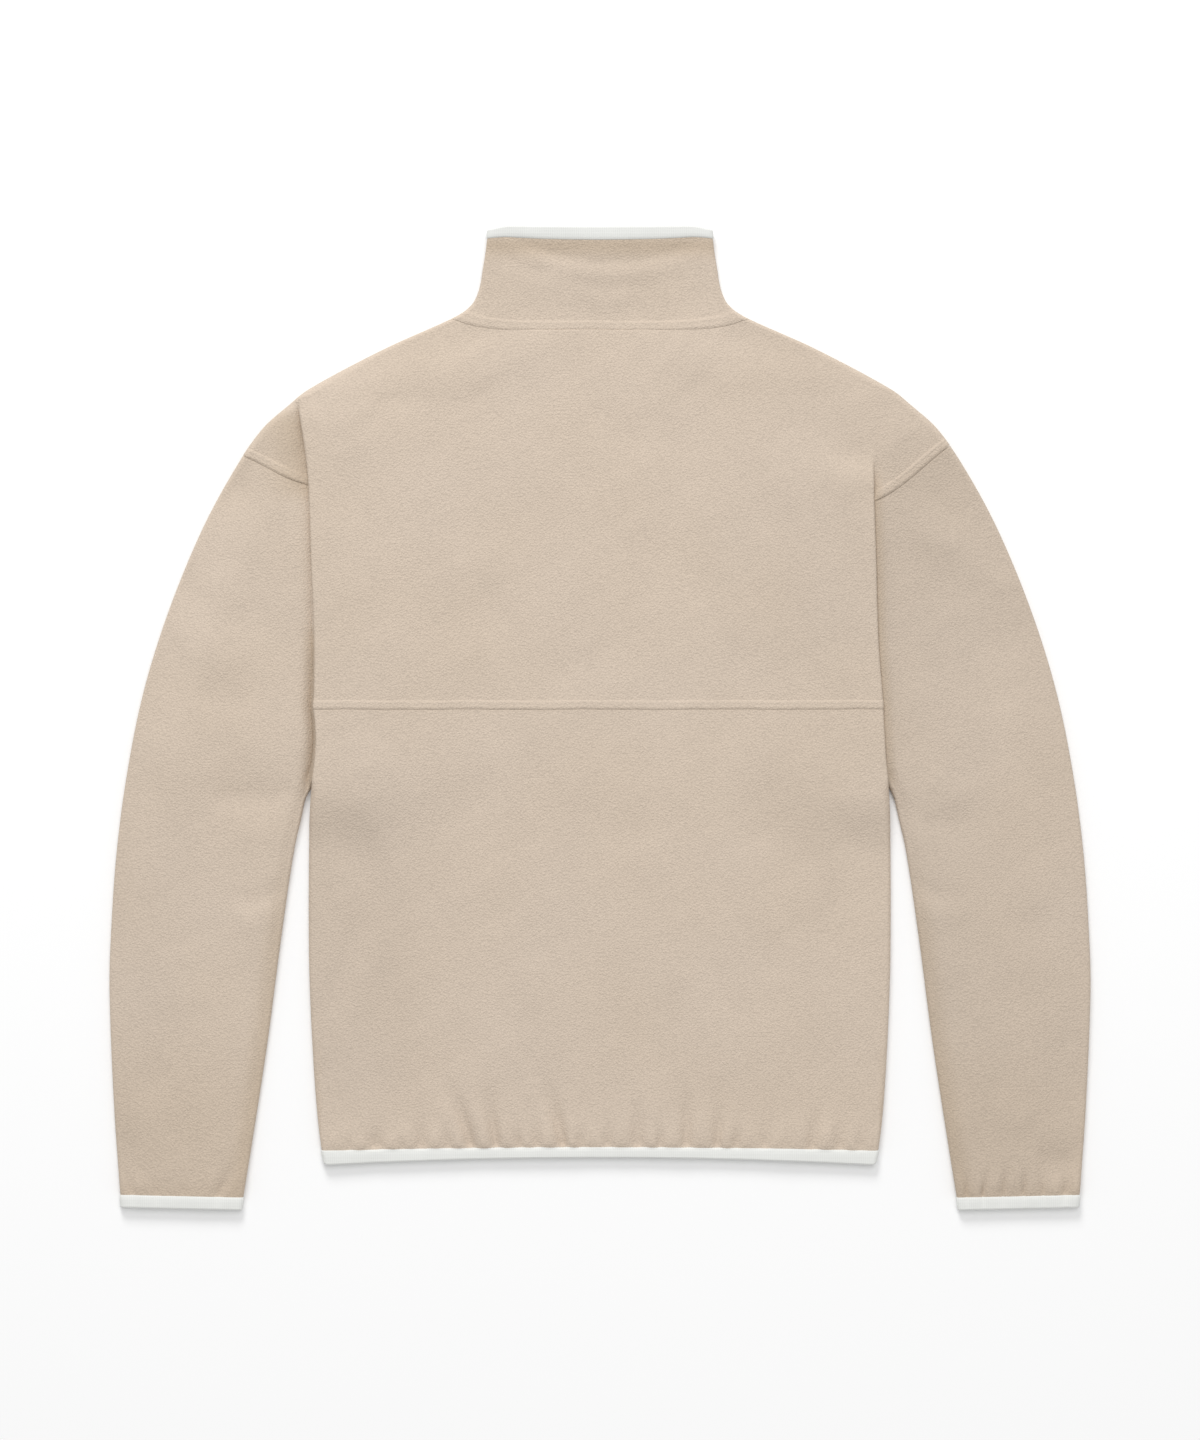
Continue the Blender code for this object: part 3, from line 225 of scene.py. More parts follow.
# Soft ridges and, where the height is below nought, troughs, along lines from end to end.
CREASES = [Crease(*row) for row in [
    # yoke
    (0.098, 0.316, 0.150, 0.291, 0.020, -0.0011), (0.052, 0.304, 0.084, 0.276, 0.026, 0.0013),
    (-0.212, 0.276, -0.180, 0.246, 0.026, 0.0012), (-0.112, 0.296, -0.090, 0.266, 0.024, 0.0007),
    (-0.015, 0.246, 0.046, 0.222, 0.020, -0.0011), (0.120, 0.170, 0.168, 0.150, 0.018, -0.0009),
    (0.030, 0.160, 0.088, 0.090, 0.022, -0.0011), (-0.134, 0.130, -0.074, 0.126, 0.018, 0.0009),
    (-0.160, 0.080, -0.060, 0.088, 0.022, -0.0008), (0.142, 0.222, 0.196, 0.196, 0.020, 0.001),
    (-0.048, 0.030, 0.018, 0.062, 0.016, -0.0008), (0.176, 0.036, 0.204, 0.048, 0.016, 0.0009),
    (-0.190, 0.050, -0.160, 0.070, 0.020, 0.0007), (0.090, 0.072, 0.160, 0.070, 0.018, 0.0006),
    (-0.190, 0.150, -0.200, 0.220, 0.014, -0.0006), (0.212, 0.214, 0.206, 0.160, 0.012, -0.0008),
    # lower back
    (-0.192, -0.066, -0.209, -0.240, 0.014, -0.0018), (-0.222, -0.070, -0.226, -0.240, 0.010, 0.001),
    (-0.172, -0.060, -0.186, -0.230, 0.016, 0.0008), (-0.196, -0.010, -0.190, -0.050, 0.018, 0.0007),
    (0.126, -0.050, 0.140, -0.110, 0.015, -0.001), (-0.018, -0.040, 0.010, -0.066, 0.020, 0.0008),
    (-0.020, -0.078, 0.050, -0.096, 0.016, -0.0009), (-0.136, -0.046, -0.096, -0.076, 0.018, -0.0006),
    (-0.130, -0.150, -0.070, -0.168, 0.020, -0.0007), (0.142, -0.120, 0.140, -0.214, 0.011, -0.0007),
    (0.164, -0.110, 0.166, -0.210, 0.012, 0.0006), (0.190, -0.130, 0.192, -0.200, 0.010, -0.0007),
    (0.110, -0.190, 0.116, -0.250, 0.012, -0.0006), (-0.180, 0.004, -0.176, -0.024, 0.007, -0.0005),
    (-0.146, 0.004, -0.150, -0.026, 0.008, -0.0005), (-0.060, -0.190, -0.050, -0.240, 0.018, 0.0006),
    (0.060, -0.150, 0.070, -0.230, 0.020, 0.0006),
    # left sleeve
    (-0.345, 0.110, -0.262, 0.072, 0.016, -0.001), (-0.352, 0.070, -0.275, 0.040, 0.016, 0.0008),
    (-0.330, 0.020, -0.276, 0.014, 0.015, -0.0011), (-0.360, -0.040, -0.300, -0.046, 0.022, 0.001),
    (-0.320, -0.062, -0.240, -0.058, 0.010, -0.0011), (-0.300, -0.088, -0.246, -0.092, 0.014, 0.0009),
    (-0.300, -0.150, -0.250, -0.134, 0.009, -0.0012), (-0.292, -0.170, -0.262, -0.156, 0.012, 0.0009),
    (-0.266, -0.200, -0.290, -0.340, 0.013, -0.0013), (-0.374, -0.280, -0.350, -0.300, 0.016, -0.0009),
    (-0.386, -0.330, -0.372, -0.376, 0.009, -0.0008), (-0.340, -0.180, -0.330, -0.240, 0.024, 0.0009),
    (-0.300, 0.190, -0.268, 0.166, 0.013, -0.0009), (-0.320, 0.160, -0.276, 0.130, 0.013, 0.0007),
    # right sleeve
    (0.252, 0.156, 0.296, 0.136, 0.011, 0.0011), (0.296, 0.136, 0.336, 0.100, 0.011, 0.0009),
    (0.262, 0.180, 0.306, 0.164, 0.011, -0.0007), (0.264, 0.122, 0.310, 0.096, 0.013, -0.0007),
    (0.300, 0.070, 0.346, 0.052, 0.018, -0.0011), (0.280, 0.010, 0.350, -0.004, 0.024, 0.0006),
    (0.262, -0.048, 0.306, -0.064, 0.012, 0.0012), (0.238, -0.074, 0.300, -0.088, 0.011, -0.0012),
    (0.250, -0.132, 0.286, -0.146, 0.009, -0.001), (0.256, -0.156, 0.300, -0.160, 0.012, 0.0008),
    (0.320, -0.156, 0.372, -0.166, 0.016, -0.0009), (0.284, -0.200, 0.296, -0.330, 0.013, -0.0013),
    (0.318, -0.310, 0.350, -0.330, 0.016, 0.0013), (0.352, -0.352, 0.386, -0.362, 0.013, -0.0019),
    (0.374, -0.250, 0.384, -0.320, 0.012, -0.0007),
    # shoulders and collar
    (-0.236, 0.222, -0.262, 0.206, 0.010, -0.0008), (0.236, 0.246, 0.252, 0.226, 0.010, 0.0006),
    (-0.076, 0.380, 0.086, 0.377, 0.006, -0.0009), (-0.070, 0.369, 0.078, 0.364, 0.0075, 0.0006),
    (-0.084, 0.376, -0.030, 0.358, 0.0065, -0.0006), (-0.036, 0.356, 0.060, 0.352, 0.0085, -0.0005),
    (-0.020, 0.342, 0.030, 0.340, 0.008, 0.0006),
]]

# ---- grid sizes
STEP = 0.0030  # between rows, and between columns of the big pieces
FINE = 0.0022  # between columns over the hem's gathers
ROLL_STEPS, TURN_STEPS, CREASE_STEPS, CAP_STOPS = 4, 8, 6, 30
YOKE_COLUMNS, LOWER_COLUMNS, FRONT_COLUMNS, HEM_COLUMNS = 168, 208, 152, 208
MERGE = 4e-6  # points closer than this become one
SLOPE_STEP = 0.002  # over which an edge's slope is measured


# ---- small tools
class Curve:
    """A smooth curve through a table's rows: value at a height, or at several."""

    def __init__(self, rows, column=1):
        rows = sorted(rows)
        self.y = np.array([row[0] for row in rows], float)
        self.v = np.array([row[column] for row in rows], float)
        low, high = np.arange(len(rows)) - 1, np.arange(len(rows)) + 1
        low, high = np.maximum(low, 0), np.minimum(high, len(rows) - 1)
        self.slope = (self.v[high] - self.v[low]) / (self.y[high] - self.y[low])

    def __call__(self, at):
        at = np.clip(at, self.y[0], self.y[-1])
        i = np.clip(np.searchsorted(self.y, at, side="right") - 1, 0, len(self.y) - 2)
        step = self.y[i + 1] - self.y[i]
        t = (at - self.y[i]) / step
        return (
            (1 + 2 * t) * (1 - t) ** 2 * self.v[i]
            + t * (1 - t) ** 2 * step * self.slope[i]
            + t * t * (3 - 2 * t) * self.v[i + 1]
            - t * t * (1 - t) * step * self.slope[i + 1]
        )


OUTER = Curve(OUTER_EDGE)
SIDE = {LEFT: Curve(SIDE_EDGE, 1), RIGHT: Curve(SIDE_EDGE, 2)}
INNER = {LEFT: Curve(INNER_EDGE, 1), RIGHT: Curve(INNER_EDGE, 2)}
COLLAR = Curve(COLLAR_EDGE)


def ease(t):
    t = np.clip(t, 0.0, 1.0)
    return t * t * (3 - 2 * t)


def mix(a, b, t):
    return a + (b - a) * t


def bell(u):
    return np.exp(-(u**2))


def bulge(fraction, power=2):
    return 1 - np.abs(2 * fraction - 1) ** power


def spread(start, end, steps):
    return np.linspace(start, end, int(steps) + 1)


def quarter(steps):
    """A quarter round as rows of (out, back) shares."""
    step = math.pi / 2 / steps
    turn = (np.arange(steps) + 0.5) * step
    shares = np.stack([np.sin(turn), np.cos(turn)], 1) / math.cos(step / 2)
    return np.vstack([[0.0, 1.0], shares, [1.0, 0.0]])


def half_round(steps):
    first = quarter(steps)
    return np.vstack([first[:-1], (first * [1, -1])[-2::-1]])


def points(x, y, z):
    return np.stack(np.broadcast_arrays(np.asarray(x, float), y, z), -1)


# ---- the stack at the body's edge
def outer_half(y):
    return OUTER(y) - CLOTH / 2


def side_half(side, y):
    return SIDE[side](y) - CLOTH / 2


def body_half(side, y):
    return np.where(y >= APEX[side] - 1e-6, outer_half(y), side_half(side, y))


def fold_angle(side, y):
    start, full = FOLD_START[side], FOLD_FULL[side]
    return math.pi * ease((start - y) / (start - full))


def fold_radius(angle):
    return PITCH / 2 / np.sin(np.maximum(angle, 0.02) / 2)


def fold_depth(side, y):
    start, armhole = FLAP_START[side], ARMHOLE[side]
    above = FLAP_DEPTH * np.maximum(start - y, 0) / (start - armhole)
    below = mix(FLAP_DEPTH, FLAP_END_DEPTH, (armhole - y) / (armhole - CLOSING))
    return np.where(y > armhole, above, below)


def fold_drop(side, y):
    angle = fold_angle(side, y)
    return 2 * fold_radius(angle) * (1 - np.cos(angle)) + fold_depth(side, y) * np.sin(angle)


def tuck(side, y):
    """0 where two layers lie on each other, 1 where the fold makes them six."""
    return np.where(y < ARMPIT, 1 - ease((ARMPIT - y) / TUCK_END), fold_drop(side, y) / (2 * PITCH))


def bound(distance, run=BOUND_RUN):
    return 1 - ease((distance - BOUND_HOLD) / run)


def shoulder_loft(side, y, low):
    """Air inside the shoulder's edge: most where the fold begins, and low further down."""
    above = mix(SHOULDER_LOFT, FOLD_LOFT[side], ease((SHOULDER_TOP - y) / SHOULDER_RUN))
    return mix(low, above, ease((y - SHOULDER_LOW) / SHOULDER_RUN))


def edge_levels(side, y):
    """Middle of the front and of the back panel at the body's edge."""
    fold = tuck(side, y)
    loft = mix(SEAM_LOFT, shoulder_loft(side, y, FOLD_LOFT[side]), ease((y - ARMPIT) / ARMPIT_RUN))
    upper = GROUND + PITCH + loft * (1 - fold) + 4 * PITCH * fold
    hem = bound(y - HEM)
    return mix(GROUND, BOUND_LOWER, hem), mix(upper, BOUND_UPPER, hem)


def crowned(side, y, from_outside, from_inside, width):
    """How far a sleeve's upper layer is puffed up, at distances from its two edges."""
    full = CROWN[side](y) * ease((width - CROWN_NARROW) / CROWN_WIDEN)
    return full * ease(from_outside / CROWN_OUT + CROWN_EDGE) * ease(from_inside / CROWN_IN + CROWN_EDGE)


RUN = {side: Curve(UNDER_RUN[side]) for side in SIDES}
FURROW_DEPTH = {side: Curve(FURROW[side], 1) for side in SIDES}
FURROW_WIDTH = {side: Curve(FURROW[side], 2) for side in SIDES}
CROWN = {side: Curve(SLEEVE_CROWN[side]) for side in SIDES}


def under_levels(side, x, y, crown, run=None, fold_y=None):
    """Middle of the lower and upper layer of what comes out from under the fold: cap or sleeve."""
    fold_y = y if fold_y is None else fold_y
    run = RUN[side](fold_y) if run is None else run
    lower_in, upper_in = edge_levels(side, fold_y)
    drop = 2 * PITCH * tuck(side, fold_y)
    clear = side * x - side_half(side, fold_y) - UNDER_HOLD
    beyond = np.maximum(clear, 0)
    out = 1 - (1 - np.minimum(beyond / run, 1)) ** 2
    lower = mix(lower_in + drop, GROUND, ease(beyond / np.minimum(run, UNDER_FALL)))
    upper = mix(upper_in - drop, GROUND + PITCH + shoulder_loft(side, y, SLEEVE_LOFT) + crown, out)
    depth = FURROW_DEPTH[side](fold_y)
    # A ridge begins just inside the fold's edge, a furrow only outside it.
    ridge = 0.75 * ease(clear / 0.001 + 1) + 0.25 * ease(clear / 0.002)
    starts = np.where(depth < 0, ridge, ease(clear / 0.0015))
    upper = upper - depth * starts * bell((beyond - FURROW_AT) / FURROW_WIDTH[side](fold_y))
    return lower, np.maximum(upper, lower + PITCH)


TAPS = np.linspace(-1, 1, 13)
BLUR = [(k, w / sum(np.exp(-2 * TAPS**2))) for k, w in zip(TAPS, np.exp(-2 * TAPS**2))]


def panel_level(panel, x, y, edge_y):
    """Height of a body panel's flat part: held up beside each edge, slack in the middle."""
    back = panel == BACK
    flat = GROUND + PITCH + SLACK_LOFT if back else GROUND
    middle = mix(flat, BOUND_UPPER if back else BOUND_LOWER, bound(y - HEM))
    below = ease((ARMPIT + BELOW_FROM - y) / BELOW_RUN)
    hold, fall = mix(TUCK_HOLD, SEAM_HOLD, below), mix(TUCK_FALL, SEAM_FALL, below)
    z = middle
    for side in SIDES:
        at = edge_y[side]
        inside = body_half(side, at) - side * x
        blur = TUCK_BLUR * ease(inside / TUCK_BLUR_RUN)
        level = 0.0
        for k, weight in BLUR:
            level = level + weight * edge_levels(side, np.maximum(at + k * blur, HEM))[back]
        level = mix(level, edge_levels(side, at)[back], bound(y - HEM))
        z = z + (level - middle) * (1 - ease((inside - hold) / fall))
    return z


# ---- how the cloth is moved about
def seam_line(side):
    """The armhole seam: its inner end on the fold, its direction outwards, and its length."""
    start = np.array([side * (side_half(side, ARMHOLE[side]) - PITCH / 2), ARMHOLE[side]])
    end = np.array([side * outer_half(ARMHOLE_TOP[side]), ARMHOLE_TOP[side]])
    length = np.linalg.norm(end - start)
    return start, (end - start) / length, length


def aside(start, way, x, y):
    """How far places lie beside the line from start in the direction way."""
    return (x - start[0]) * -way[1] + (y - start[1]) * way[0]


SEAM_BOW = {LEFT: 0.0019, RIGHT: 0.0034}  # how far the armhole seam sags below a straight line
SEAM_BOW_PEAK = 0.38  # where along it, from the fold
SEAM_BOW_REACH = 0.022  # how far from the seam the cloth follows


def bowed(side, x, y):
    """How far down the cloth lies because the armhole seam is curved."""
    start, way, length = seam_line(side)
    along = ((x - start[0]) * way[0] + (y - start[1]) * way[1]) / length
    off = aside(start, way, x, y)
    t = np.clip(along, 0, 1) ** (math.log(0.5) / math.log(SEAM_BOW_PEAK))
    return SEAM_BOW[side] * np.sin(math.pi * t) ** 2 * bell(off / SEAM_BOW_REACH)


def wander(x, seed):
    """A slow irregular wave along x, between about -1 and 1."""
    return (
        0.5 * np.sin(x * 61 + seed * 1.7)
        + 0.3 * np.sin(x * 137 + seed * 2.9 + 1.1)
        + 0.2 * np.sin(x * 291 + seed * 4.3 + 0.4)
    )


def hem_foot(x):
    return HEM_FOOT + (HEM_ARCH - HEM_NARROW) * (1 - np.clip(x / HEM_HALF, -1, 1) ** 2)


def trough(u):
    """A trough's cross-section, with a soft ridge on either side."""
    return (2 * np.exp(-u * u) - 1) * np.exp(-u * u / 4)


def gather_depth(x, y):
    """How deep the hem's gathers press the cloth in."""
    dip = 0.0
    above = y - hem_foot(x)
    for g in HEM_GATHERS:
        up = above / g.reach
        fall = 1 - ease((up - GATHER_PEAK) / (1 - GATHER_PEAK))
        strength = (0.35 * fall + 0.95 * fall**3) * ease((above + GATHER_BELOW) / GATHER_RISE)
        centre = g.x + g.lean * np.clip(up, 0, 1.2) ** 1.25
        half = g.half * (1 + np.clip(up, 0, 1))
        dip = dip + GATHER_GAIN * g.depth * strength * trough((x - centre) / half)
    up = above / CRIMP_REACH
    return dip + CRIMP * wander(x * 2.3, 6.0) * (1 - ease(up)) * ease((up + 0.15) / 0.2)


CREASE_BEND = 0.12  # how far a crease bends aside, as a share of its length
UNEVEN = 0.00022  # the slow unevenness of the cloth everywhere


def swell(x, y):
    """The soft ridges and troughs of the cloth that lies on top."""
    height = 0.0
    for c in CREASES:
        way = np.array([c.x1 - c.x0, c.y1 - c.y0])
        length = np.linalg.norm(way)
        way = way / length
        along = (x - c.x0) * way[0] + (y - c.y0) * way[1]
        t = np.clip(along / length, 0, 1)
        off = aside((c.x0, c.y0), way, x, y)
        off = off - CREASE_BEND * length * (t * (1 - t) * 4 - 0.5) * (1 if c.x0 > c.x1 else -1)
        past = np.maximum(np.abs(along / length - 0.5) - 0.5, 0) * length
        near = np.exp(-((off / c.half) ** 2) - (past / c.half) ** 2)
        height = height + c.height * near * ease(0.25 + np.minimum(t, 1 - t) / 0.4)
    slack = UNEVEN * (wander(x + 0.6 * y, 3.0) + wander(0.9 * y - 0.5 * x, 8.0))
    return height + slack


# What settle() does besides the creases and gathers.
HEM_PRESS, CUFF_PRESS, PRESS_RUN = 0.0004, 0.0005, 0.014  # the elastic lies lower, and over what distance
COLLAR_RAISE = 0.0009  # the collar's elastic lies higher
YOKE_WANDER, NECK_WANDER = 0.00042, 0.00030  # how far these seams stray from a plain curve
COLLAR_CORNER, HEM_CORNER, HEM_CORNER_UP = 0.0036, 0.0045, 0.0040  # how far the corners are rounded


def top_level(x, y):
    """About how high the topmost layer of cloth lies."""
    z = panel_level(BACK, x, y, {LEFT: y, RIGHT: y})
    for side in SIDES:
        half = side_half(side, y)
        beyond = (side * x > half) & (y < APEX[side])
        crown = crowned(side, y, OUTER(y) - side * x, 1.0, 0.15)
        z = np.where(beyond, under_levels(side, x, y, crown)[1], z)
    return np.where(y > 0.2981, np.maximum(z, GROUND + PITCH), z)


def settle(p):
    """Points of the plain form, with the cloth's curves, creases and gathers in them."""
    x, y, z = p[..., 0].copy(), p[..., 1].copy(), p[..., 2].copy()
    share = np.clip((z - GROUND) / (top_level(x, y) - GROUND), 0, 1.15)
    z = z + share * (swell(x, y) - gather_depth(x, y))
    body = np.abs(x) < BODY_HALF
    z = z - share * HEM_PRESS * (1 - ease((y - hem_foot(x) + 0.002) / PRESS_RUN)) * body
    z = z + share * COLLAR_RAISE * ease((y - COLLAR_TOP + COLLAR_TRIM + 0.011) / 0.012)
    z = z - share * CUFF_PRESS * (1 - ease((y - CUFF_FOOT[0] + 0.002) / PRESS_RUN)) * ~body
    for side in SIDES:
        y = y - bowed(side, x, y)
    near_yoke = bell((y - YOKE[LEFT]) / 0.016)
    near_neck = bell((y - NECK + 0.006) / 0.012) * ease((0.108 - np.abs(x)) / 0.03)
    y = y + YOKE_WANDER * wander(x, 1.0) * near_yoke + NECK_WANDER * wander(x, 5.0) * near_neck
    # rounded corners of the collar and the hem
    corner = ease((np.abs(x) - 0.072) / 0.022) * ease((y - COLLAR_TOP + 0.014) / 0.012)
    y = y - COLLAR_CORNER * corner
    corner = np.clip((np.abs(x) - SIDE[LEFT](HEM) + HEM_CORNER) / HEM_CORNER, 0, 1)
    corner = 1 - np.sqrt(1 - 0.98 * corner**2)
    y = y + HEM_CORNER_UP * corner * ease((HEM + 0.012 - y) / 0.012) * (np.abs(x) < 0.24)
    return points(x, y, z)


# ---- one row of a body panel
def relief(distance):
    """How far a stitched-down seam allowance lifts the cloth, at a distance from its seam."""
    raised = BAND_RELIEF * (1 - ease((distance - BAND + BAND_EDGE / 2) / BAND_EDGE))
    raised = raised * mix(BAND_START, 1, ease(distance / BAND_RISE))
    return raised - STITCH_SINK * bell((distance - STITCH_LINE) / STITCH_HALF)


def ditch(distance):
    """How deep the groove at a seam is, at a distance from it."""
    return DITCH * np.clip(1 - distance / DITCH_RUN, 0, 1) ** DITCH_POWER


class Row:
    """One row of the front or the back, from edge to edge; lift moves it along its outward normal."""

    def __init__(self, panel, left, right, across, lift=0.0, folded=False):
        self.panel, self.across, self.lift, self.folded = panel, across, lift, folded
        self.y = {LEFT: left, RIGHT: right}
        self.up = 1 if panel == BACK else -1

    def edge_level(self, side):
        return edge_levels(side, self.y[side])[self.panel == BACK]

    def inset(self, side):
        y = self.y[side]
        if self.folded:
            angle = fold_angle(side, y)
            return fold_radius(angle) * math.sin(min(angle, math.pi / 2))
        lower, upper = edge_levels(side, y)
        lean = (body_half(side, y - SLOPE_STEP) - body_half(side, y)) / SLOPE_STEP
        return (upper - lower) / 2 * (math.hypot(1, lean) if y > APEX[side] - 1e-6 else 1)

    def start(self, side):
        return float(side * (body_half(side, self.y[side]) - self.inset(side))), self.y[side]

    def bow(self, f):
        y = self.y[LEFT]
        hem = HEM_ARCH * ease((GATHERS - y) / (GATHERS - HEM)) * bulge(f)
        if self.panel == FRONT:
            top = max(y - FRONT_NECK_FADE, 0) / (NECK - FRONT_NECK_FADE)
            return hem - FRONT_NECK_DROP * top * bulge(f)
        top = max(y - BACK_NECK_FADE, 0) / (NECK - BACK_NECK_FADE)
        return hem - BACK_NECK_DROP * top * bulge(f, BACK_NECK_SQUARE)

    def flat(self):
        f = self.across
        x = mix(self.start(LEFT)[0], self.start(RIGHT)[0], f)
        y = mix(self.y[LEFT], self.y[RIGHT], f)
        z = panel_level(self.panel, x, y, self.y)
        if self.panel == FRONT:
            z = z + 0.7 * np.maximum(gather_depth(x, y) * -1, 0) * ease(np.minimum(f, 1 - f) / 0.05)
        return points(x, y + self.bow(f), z + self.up * self.lift)

    def roll(self, side, steps=ROLL_STEPS):
        """A quarter round from the flat part to the seam with the other panel."""
        x, y = self.start(side)
        lower, upper = edge_levels(side, y)
        wide, high = self.inset(side), (upper - lower - RIM_GAP) / 2
        out, back = quarter(steps).T
        level = self.edge_level(side)
        sink = min(self.lift, 0)
        return points(
            x + side * (wide * out + sink * out),
            y,
            level + self.up * (self.lift * back - high * (1 - back)),
        )


# ---- the fold over the sleeve
def fold_turns(side, y):
    """The fold's path as arrays of outwards and down steps: first half turn, and second half turn."""
    angle = fold_angle(side, y)
    radius, depth = fold_radius(angle), fold_depth(side, y)
    slant = 0.0
    if y > ARMHOLE[side] - SLOPE_STEP:
        slant = (fold_depth(side, y - SLOPE_STEP) - fold_depth(side, y)) / SLOPE_STEP
    wide = radius * math.hypot(1, slant)
    turn = spread(0, angle, TURN_STEPS)
    first = np.stack([radius * np.sin(turn), radius * (1 - np.cos(turn))], 1)
    out = first[-1, 0] + depth * math.cos(angle)
    down = first[-1, 1] + depth * math.sin(angle)
    turn = spread(angle, 0, CREASE_STEPS)
    second = np.stack(
        [out + wide * (math.sin(angle) - np.sin(turn)), down + radius * (np.cos(turn) - math.cos(angle))], 1
    )
    return first, second


CAP_LANDING = 0.8  # a short row's fold takes up at most this share of it


def cap_row(row, side, share):
    """A row beyond the fold, out to the shoulder's edge: share runs from the apex to the armhole seam."""
    start = np.array(row.start(side))
    y_out = mix(APEX[side], ARMHOLE_TOP[side], share)
    target = np.array([side * outer_half(y_out), y_out])
    length = np.linalg.norm(target - start)
    way = (target - start) / length
    level = row.edge_level(side)
    first, second = fold_turns(side, row.y[side])
    turns = np.vstack([first, second])
    run = min(float(RUN[side](row.y[side])), max(0.6 * length, 1e-4))

    def levels(place, crown):
        return under_levels(side, place[..., 0], place[..., 1], crown, run, fold_y=row.y[side])

    low_end, high_end = levels(target, 0.0)
    radius = (high_end - low_end) / 2
    wide = min(radius, 0.5 * length)
    room = length - wide
    landed = turns[-1, 0]
    if landed > CAP_LANDING * room:
        turns[:, 0] *= CAP_LANDING * room / landed
        landed = turns[-1, 0]
    outs = mix(landed, room, spread(0, 1, CAP_STOPS)[1:])
    place = start + way * outs[:, None]
    crown = crowned(side, place[:, 1], length - outs, outs + ARMHOLE_REACH, length + ARMHOLE_REACH)
    lower, upper = levels(place, crown)
    z = upper if row.panel == BACK else lower
    # Close to the apex the cap leaves the fold's end without a step.
    short = landed > (CAP_LANDING - 0.01) * room
    end_level = level - row.up * turns[-1, 1]
    z = z + (end_level - z) * (1 - ease((outs - landed) / (0.3 * (room - landed) + 1e-9))) * short
    fold = start + way * turns[:, :1]
    pieces = [points(fold[:, 0], fold[:, 1], level - row.up * turns[:, 1]), points(place[:, 0], place[:, 1], z)]
    high = radius - RIM_GAP / 2
    out, back = quarter(ROLL_STEPS)[1:].T
    place = start + way * (room + wide * out)[:, None]
    pieces.append(points(place[:, 0], place[:, 1], z[-1] - row.up * high * (1 - back)))
    line = np.vstack(pieces)
    if row.panel == BACK:
        # the stitched-down allowance beside the armhole seam, and the groove at the seam
        seam, seam_way, _ = seam_line(side)
        distance = np.abs(aside(seam, seam_way, line[:, 0], line[:, 1]))
        shown = np.r_[np.zeros(len(turns)), ease((outs - landed) / (2 * PITCH)), back]
        line[:, 2] += (CAP_BAND_GAIN * relief(distance) - ditch(distance)) * shown
    return line


def flap_row(row, side):
    """A row beyond the fold, to the flap's hidden end."""
    start = np.array(row.start(side))
    _, way, _ = seam_line(side)
    closing = max(row.y[side] - CLOSING, 0) / (ARMHOLE[side] - CLOSING)
    tilted = np.array([way[0], way[1] * closing])
    first, second = fold_turns(side, row.y[side])
    turns = np.vstack([first, second[:1]])
    angle = np.minimum(np.arange(len(turns)) / TURN_STEPS, 1) * fold_angle(side, row.y[side])
    lift = row.lift * np.cos(angle / 2) ** 2
    place = start + tilted * (turns[:, 0] + lift * np.sin(angle))[:, None]
    z = row.edge_level(side) + row.up * (lift * np.cos(angle) - turns[:, 1])
    return points(place[:, 0], place[:, 1], z)


def unopened(row, side, count):
    line = row.roll(side)
    return np.vstack([np.repeat(line[:1], count - len(line), 0), line])


def closed(row, side, count):
    line = row.roll(side)
    return np.vstack([line, np.repeat(line[-1:], count - len(line), 0)])


# ---- making pieces
BEIGE = bpy.data.collections.new("pullover")
bpy.context.scene.collection.children.link(BEIGE)


def add_grid(bm, rows, flip=False):
    """Faces between neighbouring rows of points, which are settled on the way."""
    grid = settle(np.stack(rows))
    made = [[bm.verts.new(p) for p in line] for line in grid.tolist()]
    for above, below in zip(made, made[1:]):
        for k in range(len(above) - 1):
            corners = [above[k], below[k], below[k + 1], above[k + 1]]
            bm.faces.new(corners[::-1] if flip else corners)


# Painted shade: the fleece and the collar's binding are darkened in places, to match the photograph. Each place has
# its share of the whole darkening, from 0 to 1.
PAINTED_SHADE_RIGHT = (0.45, 0.30, 0.45)  # right sleeve: all of it, beside its inside edge, and its upper part
PAINTED_SHADE_LEFT = 0.3  # lower left sleeve, at its outside edge
PAINTED_SHADE_BACK = 0.40  # right side of the yoke, and left side of the lower back
PAINTED_SHADE_COLLAR = (0.15, 0.30, 0.8)  # collar: all of it, its middle, and its binding
EDGE_RUN = 0.10  # a sleeve's darkening fades over this distance from its edge


def painted_shade(side, x, y):
    """The painted-shade share of the two sleeves: the left one's lower outside edge and the crevice beside its fold,
    and all of the right one, most beside its inside edge and over its upper part.
    """
    outer = np.clip(1 - (OUTER(y) - np.abs(x)) / EDGE_RUN, 0, 1)
    inner = np.clip(1 - (np.abs(x) - INNER[side](y)) / EDGE_RUN, 0, 1)
    if side == LEFT:
        beyond = np.abs(x) - side_half(side, y)
        # Painted shade in the crevice where the left sleeve goes under the fold.
        crevice = ease(1.1 - beyond / 0.010) * ease((y + 0.060) / 0.01) * ease((0.07 - y) / 0.03)
        return np.maximum(PAINTED_SHADE_LEFT * ease((0.03 - y) / 0.12) * outer, crevice)
    whole, beside, above = PAINTED_SHADE_RIGHT
    return whole + beside * inner + above * ease((y - 0.01) / 0.10)


def painted_shade_body(x, y):
    """The painted-shade share of every other piece: the yoke's right side, the lower back's left side, and the
    collar, most in its middle, and its binding.
    """
    yoke = ease((x - 0.06) / 0.10) * ease((y - 0.02) / 0.05)
    lower = ease((-0.12 - x) / 0.06) * ease((-0.03 - y) / 0.06) * ease((y + 0.33) / 0.06)
    whole, middle, binding = PAINTED_SHADE_COLLAR
    collar = ease((y - NECK) / 0.02) * (whole + middle * bell(x / 0.05))
    collar = np.where(y > COLLAR_TOP - COLLAR_TRIM, binding, collar)
    return PAINTED_SHADE_BACK * yoke * (y < NECK) + PAINTED_SHADE_BACK * lower + collar
